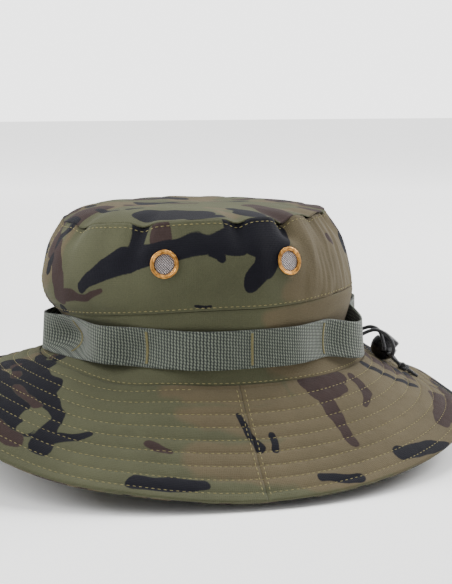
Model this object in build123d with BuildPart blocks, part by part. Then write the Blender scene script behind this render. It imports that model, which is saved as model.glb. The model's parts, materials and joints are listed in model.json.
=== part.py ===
from build123d import *

import os
from math import atan2, cos, degrees, exp, hypot, pi, radians, sin, sqrt, tan

# A boonie hat: a sewn cloth crown with a drooping stitched brim, a ring of webbing loops,
# four screened vents and a drawcord that comes out at the back through a spring cord lock.
# The front faces -Y, the wearer's left is +X and the crown rises along +Z. The origin is the
# centre of the head opening, near the mean height of the seam between crown and brim.
# A "turn" is an angle round the hat in degrees: 0 is the front, 90 the wearer's left, 180 the
# back and 270 the wearer's right. A size given as three values is for front, side and back,
# and runs smoothly from one to the next.

os.makedirs("parts", exist_ok=True)

# --- Driving sizes, in millimetres -----------------------------------------------------
opening_half_length = 105.0
opening_half_width = 88.0
cloth = 0.7
ply_gap = 0.1
seam_gap = 0.15

# Heights of the three seams round the crown
seam_height = (5.0, -3.0, -1.5)
seam_sag = 4.5
seam_sag_turn = 43.0
seam_sag_spread = 17.0
band_top = (33.0, 42.0, 39.5)
crown_edge = (86.0, 92.5, 91.5)
crown_top = 99.5
crown_roundness = (8.0, 5.0, 4.5)

# How far the cloth lies inside the opening, level by level, from its lower seam to its upper
band_levels = (0.0, 0.16, 0.32, 0.54, 0.8, 1.0)
band_insets = [
    (0.3, 0.2, 0.3), (10, 2.4, 8.4), (19, 3.6, 13.4), (21, 4, 14), (15.5, 3.7, 11), (10.7, 3, 9)]
wall_levels = (0.0, 0.15, 0.35, 0.55, 0.75, 1.0)
wall_insets = [
    (10.7, 3, 9), (6.3, 2.2, 8.6), (4.6, 2, 11), (6.2, 3.2, 14.3), (9, 6.3, 18.6), (16.3, 14, 27.5)]

# Brim: its width along the cloth, and its slope in degrees at the crown and at the edge
brim_width = (84.0, 78.0, 73.0)
brim_slope_in = (14.0, 44.0, 34.0)
brim_slope_out = (10.0, 36.0, 20.0)
brim_cloth = 0.6
interlining = 0.8

# Sweatband, sewn in at the brim seam, with a tunnel for the drawcord at its foot
sweatband_share = 0.8
sweatband_cloth = 0.8
cord_diameter = 2.4
tunnel_clearance = 0.5
tunnel_level = 0.16

# Webbing ring, tacked to the band at equal distances. Each loop stands off and droops by
# its own amount, starting with the loop behind the left side and going round by the back.
webbing_width = 22.5
webbing_thickness = 1.3
webbing_foot = (8.5, 7.0, 8.5)
first_tack = 8.0
tack_shift = (0, 0, 0, 0, 0, 0, 0, 0, 0, -8.0)
loop_stand_off = (2.2, 8.5, 8.0, 3.0, 2.5, 3.0, 6.0, 6.0, 4.5, 2.2)
loop_droop = (0.0, 5.0, -2.5, 3.0, 0.0, 0.0, 0.0, 0.0, 0.0, 0.0)
loop_flare = 1.5
tack_width = 2.2
tack_height = 19.0
tack_thickness = 0.5

# Screened vents, two on each side
vent_flange_radius = 8.2
vent_hole_radius = 5.8
vent_barrel_wall = 0.6
vent_flange_thickness = 1.0
vent_screen = 0.4
vent_washer_radius = 7.4
vent_height = 68.5
vent_places = {"front": -42.0, "rear": 32.0}
vent_clearance = 0.25

# Drawcord exits, either side of the centre of the back
exit_spread = 4.2
exit_level = 0.12
eyelet_radius = 3.2
eyelet_lip = 0.5

# Cord lock: a ball with a spring plunger, resting on the brim behind the crown
ball_radius = 8.75
ball_rim = 3.6
ball_from_seam = 15.0
ball_stand_off = 0.7
ball_side_shift = 1.5
plunger_lean = (0.154, 0.617, 0.773)
hole_spacing = 4.4
hole_radius = 1.55
hole_drop = 1.4
plunger_radius = 6.45
plunger_stem_radius = 4.8
plunger_top = 8.2
plunger_travel = 2.0
plunger_clearance = 0.15
bore_floor = -6.2
spring_wire = 0.4
knot_radius = 3.4

tunnel = cord_diameter + tunnel_clearance


# --- Shape of the hat --------------------------------------------------------------------
def blend(values, turn):
    """The value at a turn, from the values at the front, side and back."""
    front, side, back = values
    lengthwise = cos(radians(turn))
    end = front if lengthwise > 0 else back
    return side + (end - side) * lengthwise ** 2


def seam_at(turn):
    """Height of the base seam, which sags between the front and each side."""
    from_sag = min(abs(turn % 360 - seam_sag_turn), abs(turn % 360 - 360 + seam_sag_turn))
    return blend(seam_height, turn) - seam_sag * exp(-(from_sag / seam_sag_spread) ** 2)


def opening_radius(turn):
    """Distance from the middle of the hat to the seam line."""
    lengthwise = cos(radians(turn)) / opening_half_length
    crosswise = sin(radians(turn)) / opening_half_width
    return 1 / hypot(lengthwise, crosswise)


def along(points, place):
    """A point on the smooth curve through the points; place counts from 0 at the first."""
    index = min(int(place), len(points) - 2)
    part = place - index
    a, b = points[index], points[index + 1]
    before = points[index - 1] if index > 0 else tuple(2 * p - q for p, q in zip(a, b))
    after = points[index + 2] if index + 2 < len(points) else tuple(2 * q - p for p, q in zip(a, b))
    result = []
    for p0, p1, p2, p3 in zip(before, a, b, after):
        bend = (2 * p0 - 5 * p1 + 4 * p2 - p3) * part + (3 * p1 - p0 - 3 * p2 + p3) * part ** 2
        result.append(p1 + 0.5 * part * (p2 - p0 + bend))
    return tuple(result)


def profile(turn, base, top, levels, insets, count=13):
    """Outer line of a crown wall at a turn, as distance from the middle and height."""
    knots = []
    for level, inset in zip(levels, insets):
        knots.append((opening_radius(turn) - blend(inset, turn), base + level * (top - base)))
    step = (len(knots) - 1) / (count - 1)
    return [along(knots, index * step) for index in range(count)]


def band_profile(turn, count=13):
    return profile(turn, seam_at(turn), blend(band_top, turn), band_levels, band_insets, count)


def wall_profile(turn, count=13):
    return profile(turn, blend(band_top, turn), blend(crown_edge, turn), wall_levels, wall_insets, count)


def normals(points):
    """Outward normals of a line that climbs the crown."""
    result = []
    for index in range(len(points)):
        r0, z0 = points[max(index - 1, 0)]
        r1, z1 = points[min(index + 1, len(points) - 1)]
        length = hypot(r1 - r0, z1 - z0)
        result.append(((z1 - z0) / length, (r0 - r1) / length))
    return result


def inward(points, distances):
    """The line moved towards the inside by a distance, or by one for each point."""
    if not hasattr(distances, "__len__"):
        distances = [distances] * len(points)
    return [(r - d * nr, z - d * nz) for (r, z), (nr, nz), d in zip(points, normals(points), distances)]


def station(turn):
    """Upright plane through the middle of the hat, facing round it."""
    across = Vector(sin(radians(turn)), -cos(radians(turn)), 0)
    return Plane(origin=(0, 0, 0), x_dir=across, z_dir=across.cross(Vector(0, 0, 1)))


def ply(turn, outer, inner):
    """Section of a cloth layer between two lines."""
    with BuildSketch(station(turn)) as section:
        with BuildLine():
            Spline(outer) if len(outer) > 2 else Line(outer)
            Line(outer[-1], inner[-1])
            Spline(inner[::-1]) if len(inner) > 2 else Line(inner[::-1])
            Line(inner[0], outer[0])
        make_face()
    return section.sketch


def turns(first, last, count):
    return [first + (last - first) * index / (count - 1) for index in range(count)]


def radius_at(points, height):
    """Where a climbing line stands at a height."""
    if height <= points[0][1]:
        return points[0][0]
    for (r0, z0), (r1, z1) in zip(points, points[1:]):
        if z0 <= height <= z1:
            return r0 + (r1 - r0) * (height - z0) / (z1 - z0)
    return points[-1][0]


def on_ring(turn, radius, height):
    return Vector(radius * sin(radians(turn)), -radius * cos(radians(turn)), height)


# --- Crown cloth -------------------------------------------------------------------------
def band_section(turn):
    outer = band_profile(turn)
    outer[-1] = (outer[-1][0], outer[-1][1] - seam_gap)
    return ply(turn, outer, inward(outer, cloth))


def wall_section(turn):
    outer = wall_profile(turn)
    return ply(turn, outer, inward(outer, cloth))


def sweatband_lines(turn):
    """Outer and inner lines of the sweatband; it stands off the band over the tunnel."""
    outer = band_profile(turn, 25)
    foot = outer[0][1]
    height = outer[-1][1] - foot
    kept, distances = [], []
    for r, z in outer:
        level = (z - foot) / height
        if 0.02 < level < sweatband_share:
            kept.append((r, z))
            swell = max(0.0, 1 - ((level - tunnel_level) / 0.2) ** 2)
            distances.append(cloth + ply_gap + tunnel * min(1, 1.6 * swell))
    thicker = [distance + sweatband_cloth for distance in distances]
    return inward(kept, distances), inward(kept, thicker)


def sweatband_section(turn):
    outer, inner = sweatband_lines(turn)
    return ply(turn, outer, inner)


seam_slit = 0.06
with BuildPart() as base_band:
    loft([band_section(turn) for turn in turns(0, 180, 17)])
    loft([band_section(turn) for turn in turns(180, 360, 17)])

with BuildPart() as crown_wall_left:
    loft([wall_section(turn) for turn in turns(seam_slit, 180 - seam_slit, 17)])

with BuildPart() as crown_wall_right:
    loft([wall_section(turn) for turn in turns(180 + seam_slit, 360 - seam_slit, 17)])


def panel_point(across, ahead):
    """A point of the top panel, from a square that is spread over the oval."""
    x = across * sqrt(1 - ahead ** 2 / 2)
    y = ahead * sqrt(1 - across ** 2 / 2)
    turn = degrees(atan2(x, -y))
    edge_radius, edge_height = wall_profile(turn)[-1]
    share = min(1.0, hypot(x, y))
    radius = share * (edge_radius - cloth - seam_gap)
    drop = (crown_top - edge_height) * share ** blend(crown_roundness, turn)
    return on_ring(turn, radius, crown_top - drop)


panel_grid = [[panel_point(i / 12, j / 12) for i in range(-12, 13)] for j in range(-12, 13)]
panel_face = Face.make_surface_from_array_of_points(panel_grid)
with BuildPart() as top_panel:
    extrude(panel_face, amount=1.2 * cloth, dir=(0, 0, -1))


with BuildPart() as sweatband:
    loft([sweatband_section(turn) for turn in turns(0, 180, 17)])
    loft([sweatband_section(turn) for turn in turns(180, 360, 17)])


# --- Brim --------------------------------------------------------------------------------
def brim_line(turn, depth, count=7):
    """Line down the brim at a depth under its top surface, as distance and height."""
    width = blend(brim_width, turn)
    slope_in, slope_out = blend(brim_slope_in, turn), blend(brim_slope_out, turn)
    r, z = opening_radius(turn) + seam_gap, seam_at(turn)
    line, steps = [], 8 * (count - 1)
    for index in range(steps + 1):
        slope = radians(slope_in + (slope_out - slope_in) * index / steps)
        if index % 8 == 0:
            line.append((r - depth * sin(slope), z - depth * cos(slope)))
        r += width / steps * cos(slope)
        z -= width / steps * sin(slope)
    return line


def brim_ply(depth, thickness, first, last):
    stations = turns(first, last, 17)
    return [ply(turn, brim_line(turn, depth), brim_line(turn, depth + thickness)) for turn in stations]


core_depth = brim_cloth + ply_gap
under_depth = core_depth + interlining + ply_gap
with BuildPart() as brim_top_front:
    loft(brim_ply(0, brim_cloth, -90 + seam_slit, 90 - seam_slit))

with BuildPart() as brim_top_rear:
    loft(brim_ply(0, brim_cloth, 90 + seam_slit, 270 - seam_slit))

with BuildPart() as brim_interlining:
    loft(brim_ply(core_depth, interlining, -90, 90))
    loft(brim_ply(core_depth, interlining, 90, 270))

with BuildPart() as brim_under_front:
    loft(brim_ply(under_depth, brim_cloth, -90 + seam_slit, 90 - seam_slit))

with BuildPart() as brim_under_rear:
    loft(brim_ply(under_depth, brim_cloth, 90 + seam_slit, 270 - seam_slit))


# --- Webbing ring ------------------------------------------------------------------------
def ring_turns():
    """Turns of the tacks and a way to find turns between them, by length round the band."""
    places, length, spots = [], 0.0, []
    for index in range(721):
        turn = 90 + index / 2
        radius, _ = band_profile(turn, 7)[3]
        spot = on_ring(turn, radius, 0)
        length += (spot - spots[-1]).length if spots else 0.0
        spots.append(spot)
        places.append((length, turn))
    return places


ring_places = ring_turns()
ring_length = ring_places[-1][0]
loop_length = ring_length / len(loop_stand_off)


def turn_at(distance):
    """Turn at a distance round the band from the middle of the left side."""
    laps, rest = divmod(distance, ring_length)
    for (d0, t0), (d1, t1) in zip(ring_places, ring_places[1:]):
        if d0 <= rest <= d1:
            return t0 + (t1 - t0) * (rest - d0) / (d1 - d0) + 360 * laps


def tack_place(loops):
    """Distance round the band of a place counted in loops; between tacks it runs on smoothly."""
    index, part = int(loops) % len(tack_shift), loops % 1
    ahead = part * part * (3 - 2 * part)
    shift = tack_shift[index] * (1 - ahead) + tack_shift[(index + 1) % len(tack_shift)] * ahead
    return first_tack + loops * loop_length + shift


def webbing_lines(loops, offset=0.0):
    """Outer and inner lines of the webbing at a place counted in loops from the first tack."""
    turn = turn_at(tack_place(loops))
    index = int(loops) % len(loop_stand_off)
    slack = sin(pi * (loops % 1)) ** 2
    cloth_line = band_profile(turn, 25)
    foot = blend(webbing_foot, turn) - loop_droop[index] * slack
    top = foot + webbing_width
    stand_off = loop_stand_off[index]
    straight_top = radius_at(cloth_line, top) + stand_off
    straight_foot = max(straight_top + loop_flare, radius_at(cloth_line, foot) + 1.0)
    inner, outer = [], []
    for part in turns(0, 1, 7):
        height = foot + webbing_width * part
        straight = straight_foot + (straight_top - straight_foot) * part
        snug = radius_at(cloth_line, height) + seam_gap + 0.2
        radius = snug + (max(straight, snug) - snug) * slack + offset
        inner.append((radius, height))
        outer.append((radius + webbing_thickness, height))
    return turn, outer, inner


def webbing_section(loops):
    return ply(*webbing_lines(loops))


loops_round = len(loop_stand_off)
half_round = loops_round / 2
stations_half = 5 * loops_round // 2 + 1
with BuildPart() as foliage_webbing:
    loft([webbing_section(place) for place in turns(0, half_round, stations_half)])
    loft([webbing_section(place) for place in turns(half_round, loops_round, stations_half)])


def tack_section(loops):
    turn, outer, _ = webbing_lines(loops % loops_round)
    inset = (webbing_width - tack_height) / 2 / webbing_width
    cut = [along(outer, (inset + (1 - 2 * inset) * part) * (len(outer) - 1)) for part in turns(0, 1, 7)]
    inner = [(r + seam_gap, z) for r, z in cut]
    return ply(turn, [(r + tack_thickness, z) for r, z in inner], inner)


with BuildPart() as bartacks:
    for index in range(loops_round):
        reach = tack_width / 2 / loop_length
        loft([tack_section(index - reach), tack_section(index + reach)])


# --- Vents -------------------------------------------------------------------------------
def wall_spot(place, side):
    """Plane lying on the crown wall, at a place along the hat, facing outwards."""
    turn = 90.0
    for _ in range(30):
        line = wall_profile(turn, 25)
        radius = radius_at(line, vent_height)
        turn = degrees(atan2(sqrt(max(radius ** 2 - place ** 2, 0)), -place))
    step = 0.5
    ahead = on_ring(turn + step, radius_at(wall_profile(turn + step, 25), vent_height), vent_height)
    behind = on_ring(turn - step, radius_at(wall_profile(turn - step, 25), vent_height), vent_height)
    above = on_ring(turn, radius_at(line, vent_height + 2), vent_height + 2)
    below = on_ring(turn, radius_at(line, vent_height - 2), vent_height - 2)
    middle = on_ring(turn, radius, vent_height)
    round_it, up_it = ahead - behind, above - below
    outward = round_it.cross(up_it)
    mirrored = [Vector(v.X * side, v.Y, v.Z) for v in (middle, round_it, outward)]
    return Plane(origin=mirrored[0], x_dir=mirrored[1], z_dir=mirrored[2])


vent_planes = {}
for side, side_name in [(1, "left"), (-1, "right")]:
    for place_name, place in vent_places.items():
        vent_planes[f"{side_name}_{place_name}"] = wall_spot(place, side)

flange_seat = 0.12
washer_face = -cloth - 0.45
barrel_end = washer_face - 0.9
vents = {}
for name, plane in vent_planes.items():
    with BuildPart() as flange:
        with BuildSketch(plane.offset(flange_seat)):
            Circle(vent_flange_radius)
            Circle(vent_hole_radius, mode=Mode.SUBTRACT)
        extrude(amount=vent_flange_thickness)
        outer_rim = flange.faces().sort_by(Axis(plane.origin, plane.z_dir))[-1].edges()
        fillet(outer_rim, 0.4 * vent_flange_thickness)
        with BuildSketch(plane.offset(barrel_end)):
            Circle(vent_hole_radius + vent_barrel_wall)
            Circle(vent_hole_radius, mode=Mode.SUBTRACT)
        extrude(amount=flange_seat - barrel_end)
    vents[f"vent_flange_{name}"] = flange
    with BuildPart() as screen:
        with BuildSketch(plane.offset(flange_seat)):
            Circle(vent_hole_radius - vent_clearance / 4)
        extrude(amount=vent_screen)
    vents[f"vent_screen_{name}"] = screen
    with BuildPart() as washer:
        with BuildSketch(plane.offset(washer_face)):
            Circle(vent_washer_radius)
            Circle(vent_hole_radius + vent_barrel_wall + 0.05, mode=Mode.SUBTRACT)
        extrude(amount=-0.7)
    vents[f"vent_washer_{name}"] = washer

for wall, side_name in [(crown_wall_left, "left"), (crown_wall_right, "right")]:
    with wall:
        for place_name in vent_places:
            with BuildSketch(vent_planes[f"{side_name}_{place_name}"].offset(-6)):
                Circle(vent_hole_radius + vent_barrel_wall + vent_clearance)
            extrude(amount=12, mode=Mode.SUBTRACT)


# --- Drawcord exits and the cord in its tunnel -------------------------------------------
def cord_line(turn):
    """Centre of the tunnel at a turn."""
    line = band_profile(turn, 25)
    height = line[0][1] + exit_level * (line[-1][1] - line[0][1])
    index = min(range(len(line)), key=lambda i: abs(line[i][1] - height))
    r, z = line[index]
    nr, nz = normals(line)[index]
    reach = cloth + tunnel_clearance / 2 + ply_gap + cord_diameter / 2
    return (r, z), (nr, nz), (r - reach * nr, z - reach * nz)


def exit_plane(side):
    turn = 180 - side * degrees(exit_spread / opening_half_length)
    (r, z), (nr, nz), _ = cord_line(turn)
    return Plane(origin=on_ring(turn, r, z), z_dir=on_ring(turn, nr, nz))


exits = {"left": exit_plane(1), "right": exit_plane(-1)}
eyelets = {}
for name, plane in exits.items():
    with BuildPart() as eyelet:
        with BuildSketch(plane.offset(0.15)):
            Circle(eyelet_radius)
            Circle(cord_diameter / 2 + 0.2, mode=Mode.SUBTRACT)
        extrude(amount=eyelet_lip)
        with BuildSketch(plane.offset(-cloth)):
            Circle(cord_diameter / 2 + 0.5)
            Circle(cord_diameter / 2 + 0.2, mode=Mode.SUBTRACT)
        extrude(amount=cloth + 0.15)
    eyelets[f"cord_eyelet_{name}"] = eyelet
    with base_band:
        with BuildSketch(plane.offset(-1.5)):
            Circle(cord_diameter / 2 + 0.6)
        extrude(amount=3, mode=Mode.SUBTRACT)

tunnel_end = degrees(exit_spread / opening_half_length) + 1.6
with BuildPart() as drawcord_tunnel:
    with BuildLine() as tunnel_path:
        tunnel_turns = turns(180 + tunnel_end, 540 - tunnel_end, 49)
        route = [on_ring(turn, *cord_line(turn)[2]) for turn in tunnel_turns]
        Spline(route)
    with BuildSketch(Plane(origin=tunnel_path.line @ 0, z_dir=tunnel_path.line % 0)):
        Circle(cord_diameter / 2)
    sweep()


# --- Cord lock ---------------------------------------------------------------------------
def brim_spot(from_seam, stand_off, side_shift):
    """A place over the middle of the rear brim, and the slope there."""
    slope_in, slope_out = brim_slope_in[2], brim_slope_out[2]
    slope = radians(slope_in + (slope_out - slope_in) * from_seam / brim_width[2])
    mean = radians(slope_in) / 2 + slope / 2
    y = opening_half_length + seam_gap + from_seam * cos(mean) + stand_off * sin(slope)
    z = seam_height[2] - from_seam * sin(mean) + stand_off * cos(slope)
    return Vector(side_shift, y, z), slope


ball_centre, lock_slope = brim_spot(ball_from_seam, ball_radius + ball_stand_off, ball_side_shift)
press_axis = Vector(*plunger_lean).normalized()
hole_axis = (Vector(1, 0, 0) - press_axis * press_axis.X).normalized()
lock_plane = Plane(origin=ball_centre, x_dir=hole_axis, z_dir=press_axis)
print("ball centre", ball_centre, "slope", degrees(lock_slope))
head_foot = 0.6 + plunger_travel + 0.2

with BuildPart() as cord_lock_body:
    with BuildSketch(lock_plane * Plane.XZ):
        with BuildLine():
            rim = sqrt(ball_radius ** 2 - ball_rim ** 2)
            stem_bore = plunger_stem_radius + plunger_clearance
            head_bore = plunger_radius + plunger_clearance
            foot_radius = sqrt(ball_radius ** 2 - (ball_radius - 0.8) ** 2)
            ThreePointArc((foot_radius, 0.8 - ball_radius), (ball_radius, 0), (rim, ball_rim))
            Polyline((rim, ball_rim), (head_bore, ball_rim), (head_bore, 0.6), (stem_bore, 0.6),
                     (stem_bore, bore_floor), (0, bore_floor), (0, 0.8 - ball_radius),
                     (foot_radius, 0.8 - ball_radius))
        make_face()
    revolve(axis=Axis(lock_plane.origin, lock_plane.z_dir))
    with BuildSketch(lock_plane * Plane.YZ):
        with Locations((-hole_spacing / 2, -hole_drop), (hole_spacing / 2, -hole_drop)):
            Circle(hole_radius)
    extrude(amount=12, both=True, mode=Mode.SUBTRACT)

with BuildPart() as cord_lock_plunger:
    with BuildSketch(lock_plane.offset(-hole_drop - 2.2)):
        Circle(plunger_stem_radius)
    extrude(amount=head_foot + hole_drop + 2.2)
    with BuildSketch(lock_plane.offset(head_foot)):
        Circle(plunger_radius)
    extrude(amount=plunger_top - head_foot)
    top_rim = cord_lock_plunger.faces().sort_by(Axis(lock_plane.origin, lock_plane.z_dir))[-1].edges()
    fillet(top_rim, 0.8)
    slot_half = hole_spacing / 2 + cord_diameter / 2 + 0.2
    slot_foot = -hole_drop - cord_diameter / 2 - 0.2
    slot_head = -hole_drop + cord_diameter / 2 + 0.2 + plunger_travel
    with BuildSketch(lock_plane * Plane.YZ):
        with Locations((0, (slot_foot + slot_head) / 2)):
            Rectangle(2 * slot_half, slot_head - slot_foot)
    extrude(amount=8, both=True, mode=Mode.SUBTRACT)

stem_foot = -hole_drop - 2.2
with BuildPart() as cord_lock_spring:
    spring_height = stem_foot - bore_floor - spring_wire - 0.2
    coil_foot = lock_plane.origin + press_axis * (bore_floor + spring_wire / 2 + 0.1)
    with BuildLine() as coil:
        Helix(pitch=spring_height / 2, height=spring_height, radius=3.2, center=coil_foot,
              direction=press_axis)
    with BuildSketch(Plane(origin=coil.line @ 0, z_dir=coil.line % 0)):
        Circle(spring_wire / 2)
    sweep(is_frenet=True)


# --- Free ends of the drawcord -----------------------------------------------------------
def strand(name, points):
    """One free end of the drawcord, along straight runs joined by the largest arcs."""
    points = [Vector(*point) for point in points]
    radii = []
    for before, here, after in zip(points, points[1:], points[2:]):
        half_turn = radians((here - before).get_angle(after - here)) / 2
        shorter = min((here - before).length, (after - here).length)
        radii.append(0.45 * shorter / tan(half_turn))
    with BuildPart() as piece:
        with BuildLine() as path:
            FilletPolyline(*points, radius=radii)
        with BuildSketch(Plane(origin=points[0], z_dir=points[1] - points[0])):
            Circle(cord_diameter / 2)
        sweep()
    length = path.wires()[0].length
    section = pi * cord_diameter ** 2 / 4
    ratio = piece.part.volume / section / length
    print(name, "length", round(length, 1), "volume ratio", round(ratio, 3))
    print(name, "radii", [round(radius, 1) for radius in radii])
    return piece


def hole_centre(side):
    """Middle of a cord hole through the lock: -1 is the upper hole, 1 the lower one."""
    return lock_plane.from_local_coords(Vector(0, side * hole_spacing / 2, -hole_drop))


routes = {}
for name, side, bends in [
        ("left", 1, [(5.2, 109.2, 9.8), (8.5, 114.5, 12.0), (14.5, 120.5, 8.5), (18.2, 123.6, 1.5)]),
        ("right", -1, [(-3.6, 109.0, 10.3), (0.5, 114.0, 12.6), (6.5, 117.2, 11.0), (11.6, 117.6, 6.0)])]:
    plane = exits[name]
    start = plane.origin - plane.z_dir * (cloth + 0.4)
    rise = plane.origin + plane.z_dir * 4.5
    through = hole_centre(side)
    entry = through + hole_axis * (13.5 if side < 0 else 16.0)
    leave = through - hole_axis * (16.0 if side < 0 else 14.0)
    routes[name] = [start, rise, *[Vector(*bend) for bend in bends], entry, leave]

knot_centre, knot_slope = brim_spot(36.0, knot_radius + 0.6, -1.0)
down_brim = Vector(0, cos(knot_slope), -sin(knot_slope))
off_brim = Vector(0, sin(knot_slope), cos(knot_slope))
across_brim = Vector(1, 0, 0)
knot_entry = knot_centre - down_brim * 3.25
routes["left"] += [Vector(-8.0, 129.5, -8.5), knot_entry + across_brim * 1.4]
routes["right"] += [
    Vector(-15.0, 128.0, -4.0), Vector(-11.0, 134.0, -10.5), knot_entry - across_brim * 1.4]
strands = {f"drawcord_{name}": strand(name, points) for name, points in routes.items()}

with BuildPart() as cord_knot:
    with Locations(Plane(origin=knot_centre, x_dir=across_brim, z_dir=off_brim)):
        Sphere(knot_radius)
    for drift in (-1, 1):
        heading = down_brim + across_brim * drift * 0.2
        with BuildSketch(Plane(origin=knot_centre + across_brim * drift * 1.3, z_dir=heading)):
            Circle(cord_diameter / 2)
        extrude(amount=10.5)


# --- Pieces ------------------------------------------------------------------------------
pieces = {
    "top_panel": top_panel, "crown_wall_left": crown_wall_left, "crown_wall_right": crown_wall_right,
    "base_band": base_band, "sweatband": sweatband, "foliage_webbing": foliage_webbing,
    "bartacks": bartacks, "brim_top_front": brim_top_front, "brim_top_rear": brim_top_rear,
    "brim_interlining": brim_interlining, "brim_under_front": brim_under_front,
    "brim_under_rear": brim_under_rear, "drawcord_tunnel": drawcord_tunnel,
    "cord_lock_body": cord_lock_body, "cord_lock_plunger": cord_lock_plunger,
    "cord_lock_spring": cord_lock_spring, "cord_knot": cord_knot,
    **vents, **eyelets, **strands,
}
for name, piece in pieces.items():
    piece.part.label = name
    export_step(piece.part, f"parts/{name}.step")
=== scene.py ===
import json
from math import atan2, cos, degrees, exp, hypot, pi, radians, sin

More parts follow.
